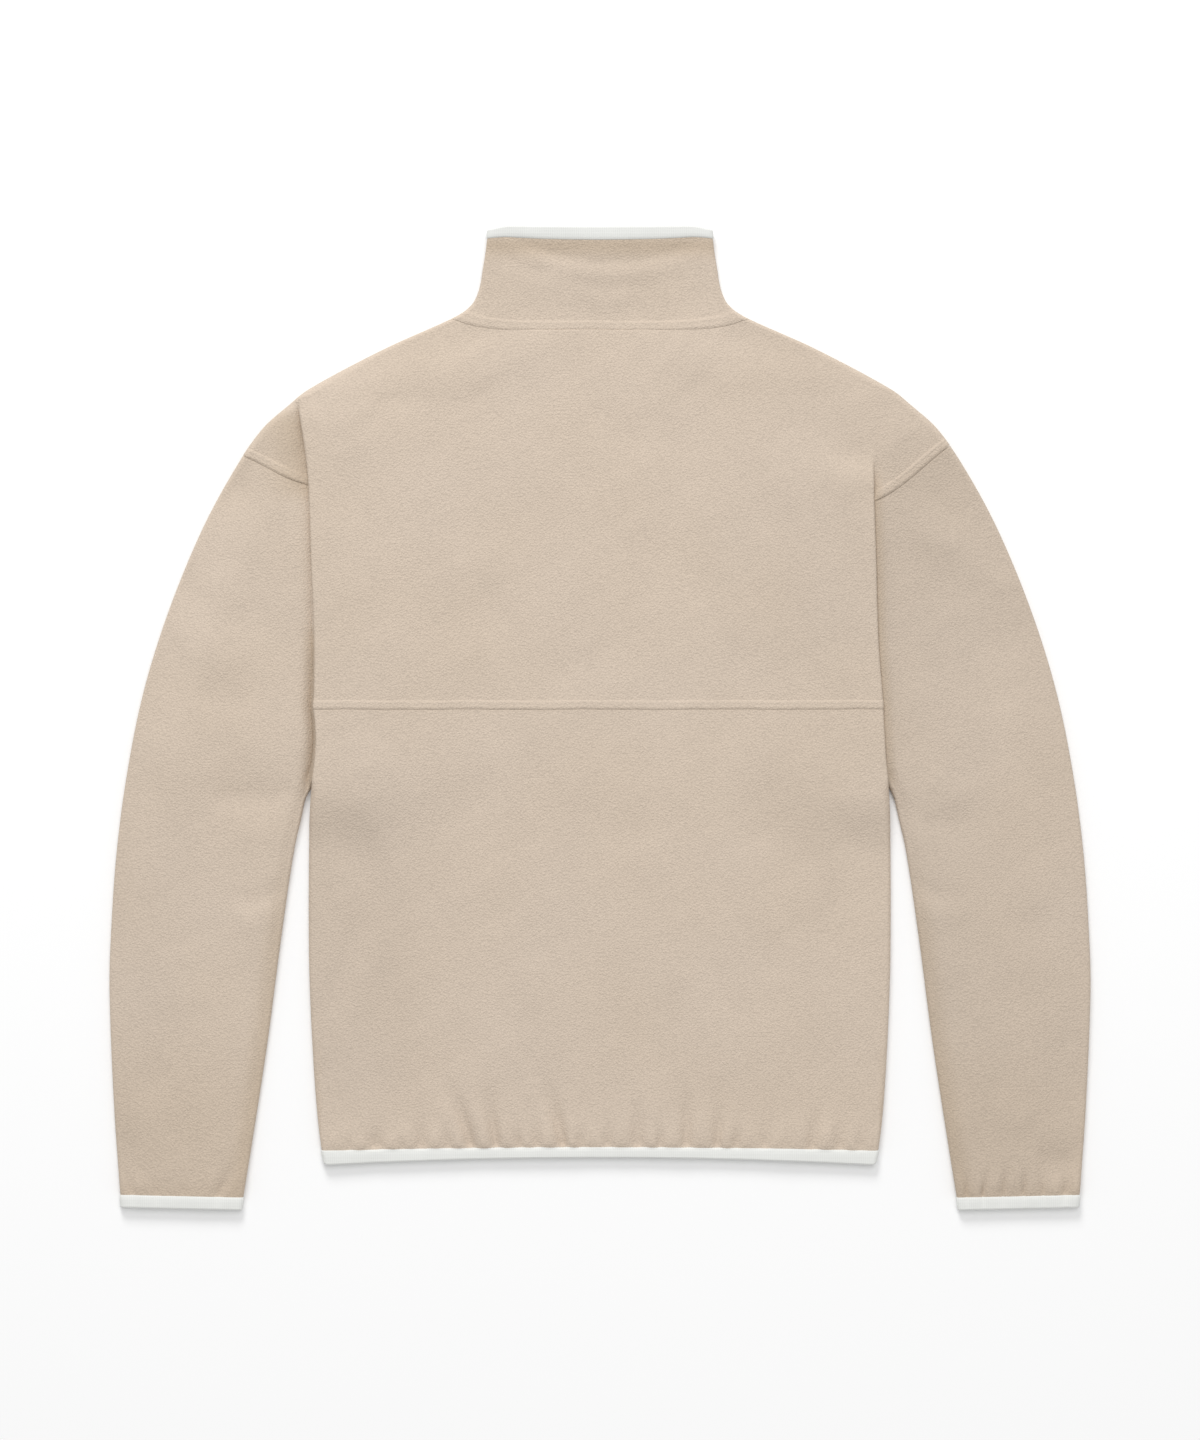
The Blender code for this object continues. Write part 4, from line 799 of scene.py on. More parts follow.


# Painted shade beside the folds: beside which fold, from this y up to this one, and over what distance from it.
WARM_SHADE_BESIDE = [(LEFT, 0.190, 0.235, 0.040), (LEFT, -0.050, 0.060, 0.012), (RIGHT, -0.045, 0.185, 0.010)]
WARM_SHADE_COLLAR, WARM_SHADE_HEM, WARM_SHADE_CUFF = 1.0, 0.05, 0.25  # beside the bindings
WARM_SHADE_SLEEVE, WARM_SHADE_INSIDE = 0.35, 0.8  # the lower sleeves, and their inside edge
WARM_SHADE_ARMHOLE, WARM_SHADE_YOKE = 0.2, 0.1  # in the seams


def painted_warm_shade(x, y):
    """The warm painted-shade share of every piece: darker and warmer beside bindings, in seams, beside folds, over
    the lower sleeves and at their inside edges.
    """
    share = WARM_SHADE_COLLAR * bell((y - COLLAR_TOP + COLLAR_TRIM + 0.0065) / 0.0085)
    body = np.abs(x) < BODY_HALF
    share += WARM_SHADE_HEM * bell((y - hem_foot(x) - 0.002) / 0.007) * body
    share += WARM_SHADE_SLEEVE * ease((-0.22 - y) / 0.12) * ~body
    share += WARM_SHADE_CUFF * bell((y - CUFF_FOOT[0] - 0.002) / 0.008) * ~body
    inner = np.where(x < 0, INNER[LEFT](y), INNER[RIGHT](y))
    share += WARM_SHADE_INSIDE * ease(1 - np.abs(np.abs(x) - inner) / 0.020) * ease((-0.09 - y) / 0.10) * ~body
    for side in SIDES:
        start, way, _ = seam_line(side)
        beyond = side * x - side_half(side, y)
        share += WARM_SHADE_ARMHOLE * bell(aside(start, way, x, y) / 0.0025) * (beyond > 0)
        for at, low, high, reach in WARM_SHADE_BESIDE:
            near = (at == side) * ease((y - low + 0.02) / 0.02) * ease((high + 0.02 - y) / 0.02)
            share += near * ease(1.1 - beyond / reach) * (beyond > 0)
    share += WARM_SHADE_YOKE * bell((y - YOKE[LEFT]) / 0.0022) * (np.abs(x) < 0.236)
    return np.clip(share, 0, 1)


def new_object(name, bm, material):
    mesh = bpy.data.meshes.new(name)
    bm.to_mesh(mesh)
    bm.free()
    mesh.shade_smooth()
    mesh.materials.append(material)
    made = bpy.data.objects.new(name, mesh)
    BEIGE.objects.link(made)
    return made


def finish_piece(name, bm, thickness, material, side=None):
    bmesh.ops.remove_doubles(bm, verts=bm.verts, dist=MERGE)
    bmesh.ops.dissolve_degenerate(bm, edges=bm.edges, dist=MERGE)
    piece = new_object(name, bm, material)
    mesh = piece.data
    at = np.empty(len(mesh.vertices) * 3)
    mesh.vertices.foreach_get("co", at)
    x, y = at[0::3], at[1::3]
    # Two shares of painted shade, read by the materials: a warm one and a plain one.
    away = painted_shade(side, x, y) if side else painted_shade_body(x, y)
    for kind, share in (("painted_warm_shade", painted_warm_shade(x, y)), ("painted_shade", away)):
        mesh.attributes.new(kind, "FLOAT", "POINT").data.foreach_set("value", share)
    solid = piece.modifiers.new("thickness", "SOLIDIFY")
    solid.thickness = thickness
    solid.offset = 0.0
    solid.use_quality_normals = True
    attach(piece, "root")
    return piece


def rows_between(panel, start, end, across, step=STEP, folded=False, ends=(True, False)):
    """Rows of a panel from one pair of heights to the next."""
    start, end = (a if isinstance(a, dict) else {LEFT: a, RIGHT: a} for a in (start, end))
    longest = max(abs(start[s] - end[s]) for s in SIDES)
    shares = spread(0, 1, max(round(longest / step), 1))
    shares = shares[0 if ends[0] else 1 : len(shares) if ends[1] else -1]
    heights = [[float(mix(start[s], end[s], t)) for s in SIDES] for t in shares]
    return [Row(panel, left, right, across, folded=folded) for left, right in heights]


def seam_rows(panel, seam, down, across, band, folded=False):
    """Rows beside a seam, closest first; down is -1 where the piece lies below it."""
    rows = []
    for distance in SEAM_ROWS:
        far = down * (distance + SEAM_AIR)
        lift = -ditch(distance) + (relief(distance) if band else 0.0)
        rows.append(Row(panel, seam[LEFT] + far, seam[RIGHT] + far, across, float(lift), folded))
        if not band and distance > 2 * DITCH_RUN:
            break
    return rows


def build_panel(name, rows, apex, armhole, closing, material, flip):
    """A body panel: its flat part, its rolled edges, and caps and flaps where its rows are folded."""
    bm = bmesh.new()
    folds = any(row.folded for row in rows)
    add_grid(bm, [row.flat() for row in rows], flip)
    for side in SIDES:
        over = flip if side == RIGHT else not flip
        plain = []
        for row in rows:
            if row.folded:
                if len(plain) > 1:
                    add_grid(bm, plain, over)
                plain = []
            else:
                plain.append(row.roll(side))
        if len(plain) > 1:
            add_grid(bm, plain, over)
        if not folds:
            continue
        if apex is not None:
            whole = rows[apex].y[side] - rows[armhole].y[side]
            caps = [
                cap_row(rows[k], side, (rows[apex].y[side] - rows[k].y[side]) / whole)
                for k in range(apex + 1, armhole + 1)
            ]
            caps.insert(0, unopened(rows[apex], side, len(caps[0])))
            add_grid(bm, caps, over)
        first = armhole if armhole is not None else 0
        last = closing if closing is not None else len(rows) - 1
        flaps = [flap_row(rows[k], side) for k in range(first, last + 1)]
        if closing is not None:
            flaps.append(closed(rows[closing + 1], side, len(flaps[0])))
        add_grid(bm, flaps, over)
    return finish_piece(name, bm, CLOTH, material)


def armhole_rows(panel, across):
    """Rows from the apex to the armhole seam, close together beside the seam."""
    near = [d * 1.25 for d in SEAM_ROWS[::-1]] if panel == BACK else [0.012, 0.009, 0.006, 0.003, 0]
    start, end = APEX, {s: ARMHOLE[s] + near[0] for s in SIDES}
    rows = rows_between(panel, start, end, across, folded=True, ends=(False, False))
    return rows + [Row(panel, ARMHOLE[LEFT] + d, ARMHOLE[RIGHT] + d, across, folded=True) for d in near]


def build_yoke(material):
    across = spread(0, 1, YOKE_COLUMNS)
    rows = seam_rows(BACK, NECK_SEAM, -1, across, False)
    rows += rows_between(BACK, rows[-1].y, APEX, across, ends=(False, True))
    apex = len(rows) - 1
    rows += armhole_rows(BACK, across)
    armhole = len(rows) - 1
    band = {s: YOKE[s] + SEAM_ROWS[-1] for s in SIDES}
    rows += rows_between(BACK, ARMHOLE, band, across, folded=True, ends=(False, False))
    rows += seam_rows(BACK, YOKE, 1, across, True, folded=True)[::-1]
    return build_panel("yoke_panel", rows, apex, armhole, None, material, flip=False)


def build_lower_back(material):
    across = spread(0, 1, LOWER_COLUMNS)
    rows = seam_rows(BACK, YOKE, -1, across, False, folded=True)
    rows += rows_between(BACK, rows[-1].y, CLOSING, across, folded=True, ends=(False, True))
    closing = len(rows) - 1
    rows += rows_between(BACK, ARMPIT, GATHERS, across)
    rows += rows_between(BACK, GATHERS, HEM_FOOT, across, step=FINE, ends=(True, True))
    rows += rows_between(BACK, HEM_FOOT, HEM, across, step=FINE, ends=(False, True))
    return build_panel("lower_back_panel", rows, None, None, closing, material, flip=False)


def build_front(material):
    across = spread(0, 1, FRONT_COLUMNS)
    rows = seam_rows(FRONT, NECK_SEAM, -1, across, False)
    rows += rows_between(FRONT, rows[-1].y, APEX, across, ends=(False, True))
    apex = len(rows) - 1
    rows += armhole_rows(FRONT, across)
    armhole = len(rows) - 1
    rows += rows_between(FRONT, ARMHOLE, CLOSING, across, folded=True, ends=(False, True))
    closing = len(rows) - 1
    rows += rows_between(FRONT, ARMPIT, GATHERS, across)
    rows += rows_between(FRONT, GATHERS, HEM, across, step=FINE, ends=(True, True))
    return build_panel("front_panel", rows, apex, armhole, closing, material, flip=True)


# ---- sleeves
SLEEVE_NEAR = [0.0045, 0.0066, 0.0095, 0.0110]  # rows beside the armhole seam: up to, then at, at, and plain from
KNEE_RUN = 0.017  # the columns are close together over this distance outside the fold's edge
KNEE_COLUMNS = 30, 16, 12  # outside it, over it, and inside it
CUFF_ROWS_FROM = -0.33  # below this height the rows are close together


def sleeve_ends(side):
    """Outer and inner end of each section, to the cloth's outside, from armhole to cuff, with its lift."""
    _, way, _ = seam_line(side)
    x, y = side * side_half(side, ARMHOLE[side]), ARMHOLE[side]
    hidden = np.array([x, y]) - way * ARMHOLE_REACH
    index = np.arange(len(SLEEVE_SECTIONS) + 3)
    outer_y = [ARMHOLE_TOP[side], *(s[0] for s in SLEEVE_SECTIONS), CUFF_FOOT[0], CUFF_END[0]]
    inner_y = [hidden[1], *(s[1] for s in SLEEVE_SECTIONS), CUFF_FOOT[1], CUFF_END[1]]
    outer_at, inner_at = Curve(list(zip(index, outer_y))), Curve(list(zip(index, inner_y)))
    along = []
    for k in index[:-1]:
        step = FINE if outer_y[k] < CUFF_ROWS_FROM else STEP
        steps = max(round((outer_y[k] - outer_y[k + 1]) / step), 1)
        along += [k + j / steps for j in range(steps)]
    first = SLEEVE_SECTIONS[0]
    # Close beside the armhole seam the sections follow it, as the rows of the other pieces do.
    near = [d for d in SEAM_ROWS if d < SLEEVE_NEAR[0]] + SLEEVE_NEAR[1:3]
    span = ARMHOLE_TOP[side] - first[0]
    along = [a for a in along if a > SLEEVE_NEAR[3] / span] + [float(index[-1])]
    along = [(d + SEAM_AIR) / span for d in near] + along
    ends = []
    for a in along:
        oy, iy = float(outer_at(a)), float(inner_at(a))
        ix = side * float(INNER[side](iy))
        if a < 1:
            oy = mix(ARMHOLE_TOP[side], first[0], a)
            iy = mix(hidden[1], first[1], a)
            ix = mix(hidden[0], side * float(INNER[side](first[1])), a)
        distance = a * span
        lift = -float(ditch(distance)) if a < 1 else 0.0
        ends.append((np.array([side * float(OUTER(oy)), oy]), np.array([ix, iy]), lift))
    return ends


def sleeve_levels(side, outer, inner, share):
    x, y = mix(outer[0], inner[0], share), mix(outer[1], inner[1], share)
    length = np.linalg.norm(outer - inner)
    crown = crowned(side, y, share * length, (1 - share) * length, length)
    lower, upper = under_levels(side, x, y, crown)
    cuff_y = mix(CUFF_END[0], CUFF_END[1], share)
    cuff = bound(y - cuff_y)
    pucker = 0.0
    for p in (Pucker(*row) for row in CUFF_PUCKERS[side]):
        above = y - cuff_y - CUFF_TRIM
        up = above / p.reach
        fall = 1 - ease((up - GATHER_PEAK) / (1 - GATHER_PEAK))
        strength = (0.5 * fall + 0.8 * fall**3) * ease((above + PUCKER_BELOW) / GATHER_RISE)
        centre = p.share - p.lean * np.clip(up, 0, 1.2)
        half = p.half * (0.7 + 0.6 * np.clip(up, 0, 1))
        pucker = pucker + PUCKER_GAIN * p.depth * strength * trough((share - centre) / half)
    return mix(lower, BOUND_LOWER, cuff), mix(upper, BOUND_UPPER, cuff) - pucker


def sleeve_ring(side, outer, inner, lift=0.0):
    """One closed section of a sleeve: out along the upper layer, back along the lower one."""
    length = np.linalg.norm(outer - inner)
    first, last = CLOTH / 2 / length, 1 - CLOTH / 2 / length

    def radius_at(share):
        lower, upper = sleeve_levels(side, outer, inner, share)
        return (upper - lower) / 2

    out_radius, in_radius = radius_at(first), radius_at(last)
    start, end = first + out_radius / length, last - in_radius / length
    knee, run = 0.8, KNEE_RUN / length
    for _ in range(8):
        fold = side_half(side, mix(outer[1], inner[1], knee))
        knee = min((abs(outer[0]) - fold) / abs(outer[0] - inner[0]), end - 0.02)
    far, close, hidden = KNEE_COLUMNS
    shares = [spread(start, knee - run, far)[:-1], spread(knee - run, knee, close)[:-1], spread(knee, end, hidden)]
    shares = np.concatenate(shares)

    def place(share, z):
        return points(mix(outer[0], inner[0], share), mix(outer[1], inner[1], share), z)

    lower, upper = sleeve_levels(side, outer, inner, shares)
    upper, lower = upper + lift, lower - 0.3 * lift
    turn = half_round(ROLL_STEPS)[1:-1]
    middle, half = (upper[-1] + lower[-1]) / 2, (upper[-1] - lower[-1]) / 2
    inside = place(end + in_radius * turn[:, 0] / length, middle + half * turn[:, 1])
    middle, half = (upper[0] + lower[0]) / 2, (upper[0] - lower[0]) / 2
    outside = place(start - out_radius * turn[:, 0] / length, middle - half * turn[:, 1])
    return np.vstack([place(shares, upper), inside, place(shares[::-1], lower[::-1]), outside])


def build_sleeve(name, side, material):
    bm = bmesh.new()
    rings = [sleeve_ring(side, *ends) for ends in sleeve_ends(side)]
    add_grid(bm, [np.vstack([ring, ring[:1]]) for ring in rings], flip=side == RIGHT)
    return finish_piece(name, bm, CLOTH, material, side)


# ---- collar
COLLAR_BACK_COLUMNS, COLLAR_FRONT_COLUMNS = 96, 72


def collar_ring(y, lift=0.0, groove=0.0):
    """A closed section of the collar: its back from left to right, then its front from right to left."""
    rise = (y - NECK) / (COLLAR_TOP - NECK)
    edge = bound(COLLAR_TOP - y, COLLAR_RUN)
    lower = mix(GROUND, BOUND_LOWER, edge)
    upper = mix(GROUND + PITCH + SHOULDER_LOFT, BOUND_UPPER, edge)
    radius = (upper - lower) / 2
    half = float(COLLAR(y))
    lean = (half - float(COLLAR(y + SLOPE_STEP))) / SLOPE_STEP
    wide = radius * math.hypot(1, lean)
    flat = half - CLOTH / 2 - wide
    f = spread(0, 1, COLLAR_BACK_COLUMNS)
    drop = mix(BACK_NECK_DROP * bulge(f, BACK_NECK_SQUARE), BACK_TOP_DROP * bulge(f), rise)
    back = points(mix(-flat, flat, f), y - drop, upper + lift - groove * (0.35 + 0.65 * ease(bulge(f) / 0.35)))
    f = spread(0, 1, COLLAR_FRONT_COLUMNS)
    drop = mix(FRONT_NECK_DROP, FRONT_TOP_DROP, rise)
    front = points(mix(flat, -flat, f), y - drop * bulge(f), lower)
    out, over = half_round(ROLL_STEPS)[1:-1].T
    middle = (upper + lower) / 2
    raised = lift * np.clip(over, 0, 1)
    right = points(flat + wide * out, y, middle + radius * over + raised)
    left = points(-flat - wide * out, y, middle + radius * over + raised)[::-1]
    return np.vstack([back, right, front, left])


def build_collar(material):
    seam = [(NECK + SEAM_AIR + d, float(relief(d)), float(ditch(d))) for d in SEAM_ROWS]
    last = seam[-1][0]
    heights = [(y, 0.0, 0.0) for y in spread(last, COLLAR_TOP, round((COLLAR_TOP - last) / FINE))[1:]]
    rings = [collar_ring(*stop) for stop in reversed(seam + heights)]
    bm = bmesh.new()
    add_grid(bm, [np.vstack([ring, ring[:1]]) for ring in rings])
    return finish_piece("collar_band", bm, CLOTH, material)


# ---- bindings
TRIM_FACE_STEPS = 12  # rows down each face of a binding
TRIM_BULGE = 0.00012  # how far the face of the elastic rounds out
TRIM_FOOT_SINK = 0.00078  # how far the binding's foot is pressed into the cloth
TRIM_STITCH = 0.0021  # the stitching's distance from the binding's foot
TRIM_STITCH_SINK = 0.00014
COLLAR_NARROW, COLLAR_HALF = 0.0018, 0.088  # the collar's binding is narrower in its middle too


def build_binding(name, edge, foot, material):
    """An elastic binding folded over a closed loop of edge points, down to the loop of foot points."""
    away = CLOTH / 2 + TRIM / 2
    arriving = edge - np.roll(edge, 1, 0)
    leaving = np.roll(edge, -1, 0) - edge
    unit = lambda v: v / np.linalg.norm(v, axis=1, keepdims=True)
    along = unit(arriving) + unit(leaving)
    out = edge - foot
    normal = unit(np.cross(out, along)) * away * 2 / np.linalg.norm(along, axis=1, keepdims=True)
    axis = unit(along)
    out = unit(out - axis * (out * axis).sum(1, keepdims=True))
    rings = []
    high = np.linalg.norm(edge - foot, axis=1, keepdims=True)
    down = spread(0, 1, TRIM_FACE_STEPS)

    def face(t, sign):
        """A line down one face: t is 0 at the foot and 1 at the edge."""
        up = t * high.mean()
        puff = TRIM_BULGE * math.sin(math.pi * t)
        puff -= TRIM_STITCH_SINK * math.exp(-(((up - TRIM_STITCH) / 0.0009) ** 2))
        puff -= TRIM_FOOT_SINK * math.exp(-((up / 0.0010) ** 2))
        return foot + (edge - foot) * t + normal * sign * (1 + puff / away)

    for t in down:
        rings.append(face(t, 1))
    for past, over in half_round(3)[1:-1]:
        rings.append(edge + out * TRIM_TURN * past + normal * over)
    for t in down[::-1]:
        rings.append(face(t, -1))
    grid = np.stack(rings, 1)
    grid[..., 2] = np.maximum(grid[..., 2], TRIM / 2)
    bm = bmesh.new()
    add_grid(bm, [*grid, grid[0]])
    thread = face(TRIM_STITCH / high.mean(), 1 + TRIM / 2 / away)
    return finish_piece(name, bm, TRIM, material), [settle(np.vstack([thread, thread[:1]]))]


def hem_loop(y):
    """A loop round the hem: along the back from left to right, and along the front from right to left."""
    across = spread(0, 1, HEM_COLUMNS)
    back, front = (Row(panel, y, y, across) for panel in (BACK, FRONT))
    upper, lower = ({s: row.roll(s)[1:-1] for s in SIDES} for row in (back, front))
    flat = front.flat()
    flat[:, 2] = np.minimum(flat[:, 2], BOUND_LOWER)
    return np.vstack([back.flat(), upper[RIGHT], lower[RIGHT][::-1], flat[::-1], lower[LEFT], upper[LEFT][::-1]])


def build_bindings(material):
    foot = hem_loop(HEM_FOOT)
    foot[:, 1] -= HEM_NARROW * (1 - (foot[:, 0] / HEM_HALF) ** 2).clip(0)
    made = [build_binding("hem_elastic", hem_loop(HEM), foot, material)]
    for name, side in (("cuff_elastic_left", LEFT), ("cuff_elastic_right", RIGHT)):
        pair = []
        for outer_y, inner_y in (CUFF_END, CUFF_FOOT):
            outer = np.array([side * float(OUTER(outer_y)), outer_y])
            inner = np.array([side * float(INNER[side](inner_y)), inner_y])
            ring = sleeve_ring(side, outer, inner)
            pair.append(ring if side == LEFT else ring[::-1])
        made.append(build_binding(name, *pair, material))
    foot = collar_ring(COLLAR_TOP - COLLAR_TRIM + TRIM_PAST)
    foot[:, 1] -= COLLAR_NARROW * (1 - (foot[:, 0] / COLLAR_HALF) ** 2).clip(0)
    made.append(build_binding("collar_elastic", collar_ring(COLLAR_TOP)[::-1], foot[::-1], material))
    return made


# ---- stitching
# Along one stitch: where its rings are, how round they are, and how far they dive into the cloth.
STITCH_AT = np.array([-0.5, -0.32, 0.0, 0.32, 0.5])
STITCH_ROUND, STITCH_DIVE = (0.25, 0.85, 1.0, 0.85, 0.25), (0.9, 0.25, 0.0, 0.25, 0.9)


def stitches(name, lines, material, length=0.0030, space=0.0005, thick=0.00030, sides=5):
    """Short threads laid along lines of points that lie on the cloth's surface."""
    bm = bmesh.new()
    for line in lines:
        steps = np.linalg.norm(np.diff(line, axis=0), axis=1)
        run = np.r_[0, np.cumsum(steps)]
        count = int(run[-1] / (length + space))
        for k in range(count):
            at = (k + 0.5) * (length + space) + STITCH_AT * length
            path = np.stack([np.interp(at, run, line[:, i]) for i in range(3)], 1)
            way = path[-1] - path[0]
            way = way / np.linalg.norm(way)
            side = np.cross(way, [0, 0, 1.0])
            side = side / np.linalg.norm(side)
            up = np.cross(side, way)
            rings = []
            for p, r, sink in zip(path, STITCH_ROUND, STITCH_DIVE):
                centre = p - up * sink * thick
                turn = np.arange(sides) * 2 * math.pi / sides
                ring = centre + (side * np.cos(turn)[:, None] + up * np.sin(turn)[:, None]) * thick / 2 * r
                rings.append([bm.verts.new(v) for v in ring.tolist()])
            for a, b in zip(rings, rings[1:]):
                for i in range(sides):
                    bm.faces.new([a[i], a[(i + 1) % sides], b[(i + 1) % sides], b[i]])
            bm.faces.new(rings[0][::-1])
            bm.faces.new(rings[-1])
    piece = new_object(name, bm, material)
    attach(piece, "root")
    return piece


# ---- materials
def plug(tree, node, inputs):
    """Gives a node's inputs their values, or links them."""
    for key, value in inputs.items():
        if isinstance(value, bpy.types.NodeSocket):
            tree.links.new(value, node.inputs[key])
        else:
            node.inputs[key].default_value = value


def new_material(name):
    material = bpy.data.materials.new(name)
    material.use_nodes = True
    tree = material.node_tree
    return material, tree, tree.nodes["Principled BSDF"], tree.nodes.new("ShaderNodeTexCoord").outputs["Object"]


def add_node(tree, kind, inputs, **settings):
    node = tree.nodes.new(kind)
    for key, value in settings.items():
        setattr(node, key, value)
    plug(tree, node, inputs)
    return node


def noise(tree, place, scale, detail=2.0, roughness=0.5):
    inputs = {"Scale": scale, "Detail": detail, "Roughness": roughness, "Vector": place}
    return add_node(tree, "ShaderNodeTexNoise", inputs).outputs["Fac"]


def attribute(tree, name):
    return add_node(tree, "ShaderNodeAttribute", {}, attribute_name=name).outputs["Fac"]


def blend(tree, low, high, fac, span):
    """Maps a noise that keeps within span round its middle onto low to high."""
    inputs = {"From Min": 0.5 - span, "From Max": 0.5 + span, "To Min": low, "To Max": high, "Value": fac}
    return add_node(tree, "ShaderNodeMapRange", inputs).outputs["Result"]


def combine(tree, operation, first, *rest):
    """The sum or product of several sockets."""
    for value in rest:
        first = add_node(tree, "ShaderNodeMath", {0: first, 1: value}, operation=operation).outputs[0]
    return first


def mixed(tree, factor, a, b):
    """One colour turning into another."""
    return add_node(tree, "ShaderNodeMix", {"Factor": factor, "A": a, "B": b}, data_type="RGBA").outputs["Result"]


def scaled(tree, colour, shade):
    return add_node(tree, "ShaderNodeVectorMath", {0: colour, "Scale": shade}, operation="SCALE").outputs[0]


def bumped(tree, height, strength, distance):
    inputs = {"Strength": strength, "Distance": distance, "Height": height}
    return add_node(tree, "ShaderNodeBump", inputs).outputs["Normal"]


FLEECE_COLOUR = (0.595, 0.498, 0.407)
FLEECE_WARM = (0.572, 0.471, 0.370)
# the darker, warmer colour of painted shade
FLEECE_PAINTED_SHADE = (0.533, 0.433, 0.333)
PAINTED_SHADE_DEPTH = 0.10  # how much darker a full share of painted shade makes it
TRIM_COLOUR = (0.785, 0.790, 0.762)
THREAD_COLOUR = (0.785, 0.785, 0.750)
SEAM_THREAD_COLOUR = (0.70, 0.60, 0.49)


def fleece_material():
    material, tree, shader, place = new_material("fleece")
    cells = add_node(tree, "ShaderNodeTexVoronoi", {"Scale": 620.0, "Vector": place}, feature="F1")
    nap = combine(
        tree,
        "ADD",
        blend(tree, 0.62, 0.0, cells.outputs["Distance"], 0.5),
        blend(tree, 0.0, 0.38, noise(tree, place, 760, roughness=0.6), 0.25),
    )
    shade = combine(
        tree,
        "MULTIPLY",
        # painted shade, from the share set on the points
        blend(tree, 1.0 + PAINTED_SHADE_DEPTH / 2, 1.0 - PAINTED_SHADE_DEPTH / 2, attribute(tree, "painted_shade"), 0.5),
        blend(tree, 0.900, 1.100, nap, 0.36),
        blend(tree, 0.985, 1.015, noise(tree, place, 240), 0.2),
        blend(tree, 0.985, 1.015, noise(tree, place, 26), 0.2),
    )
    warm = blend(tree, 0.0, 0.35, noise(tree, place, 8, detail=1.0), 0.18)
    colour = mixed(tree, warm, (*FLEECE_COLOUR, 1), (*FLEECE_WARM, 1))
    # Painted shade: the colour turns darker and warmer with the warm painted-shade share.
    colour = mixed(tree, attribute(tree, "painted_warm_shade"), colour, (*FLEECE_PAINTED_SHADE, 1))
    fine = noise(tree, place, 900, roughness=0.6)
    height = combine(tree, "ADD", blend(tree, 0.0, 0.7, nap, 0.25), blend(tree, 0.0, 0.3, fine, 0.25))
    plug(tree, shader, {
        "Base Color": scaled(tree, colour, shade),
        "Roughness": blend(tree, 0.86, 1.0, nap, 0.25),
        "Sheen Weight": 0.18,
        "Sheen Roughness": 0.45,
        "Sheen Tint": (1.0, 0.94, 0.86, 1),
        "Specular IOR Level": 0.15,
        "Normal": bumped(tree, height, 0.75, 0.0006),
    })
    return material


def binding_material():
    material, tree, shader, place = new_material("elastic")
    ribs, courses = (
        add_node(
            tree,
            "ShaderNodeTexWave",
            {"Scale": scale, "Distortion": bent, "Detail": 1.0, "Detail Scale": detail, "Vector": place},
            bands_direction=way,
        ).outputs["Fac"]
        for way, scale, bent, detail in (("X", 180.0, 0.6, 3.0), ("Y", 260.0, 0.8, 2.0))
    )
    fuzz = noise(tree, place, 700)
    shade = combine(
        tree,
        "MULTIPLY",
        blend(tree, 0.965, 1.015, ribs, 0.5),
        blend(tree, 0.975, 1.01, courses, 0.5),
        blend(tree, 0.98, 1.02, noise(tree, place, 30), 0.2),
        # painted shade, from the share set on the points
        blend(tree, 1.01, 1.01 - PAINTED_SHADE_DEPTH, attribute(tree, "painted_shade"), 0.5),
    )
    height = combine(
        tree,
        "ADD",
        blend(tree, 0, 0.5, ribs, 0.5),
        blend(tree, 0, 0.35, courses, 0.5),
        blend(tree, 0, 0.3, fuzz, 0.25),
    )
    plug(tree, shader, {
        "Base Color": scaled(tree, TRIM_COLOUR, shade),
        "Roughness": blend(tree, 0.62, 0.8, fuzz, 0.25),
        "Sheen Weight": 0.08,
        "Specular IOR Level": 0.3,
        "Normal": bumped(tree, height, 0.5, 0.0003),
    })
    return material


def thread_material(name, colour):
    material, tree, shader, place = new_material(name)
    twist = noise(tree, place, 2600, detail=1.0)
    plug(tree, shader, {
        "Base Color": scaled(tree, colour, blend(tree, 0.9, 1.08, twist, 0.25)),
        "Roughness": blend(tree, 0.5, 0.7, twist, 0.25),
        "Sheen Weight": 0.1,
    })
    return material


def floor_material():
    material, tree, shader, place = new_material("floor")
    grain = blend(tree, 0.998, 1.0, noise(tree, place, 3.0, detail=1.0), 0.25)
    plug(tree, shader, {
        "Base Color": scaled(tree, (0.97, 0.97, 0.97), grain),
        "Roughness": 0.9,
        "Specular IOR Level": 0.0,
    })
    return material


# ---- camera, floor and light
PIXEL = 0.00081  # of the photograph
PHOTO_HEIGHT = 1440
CAMERA_UP, SENSOR = 4.0, 36.0
CAMERA_Y = -0.0016  # the photograph's middle
FLOOR_HALF, SQUARE = 6.0, ((-1, -1), (1, -1), (1, 1), (-1, 1))
DAYLIGHT = 0.56


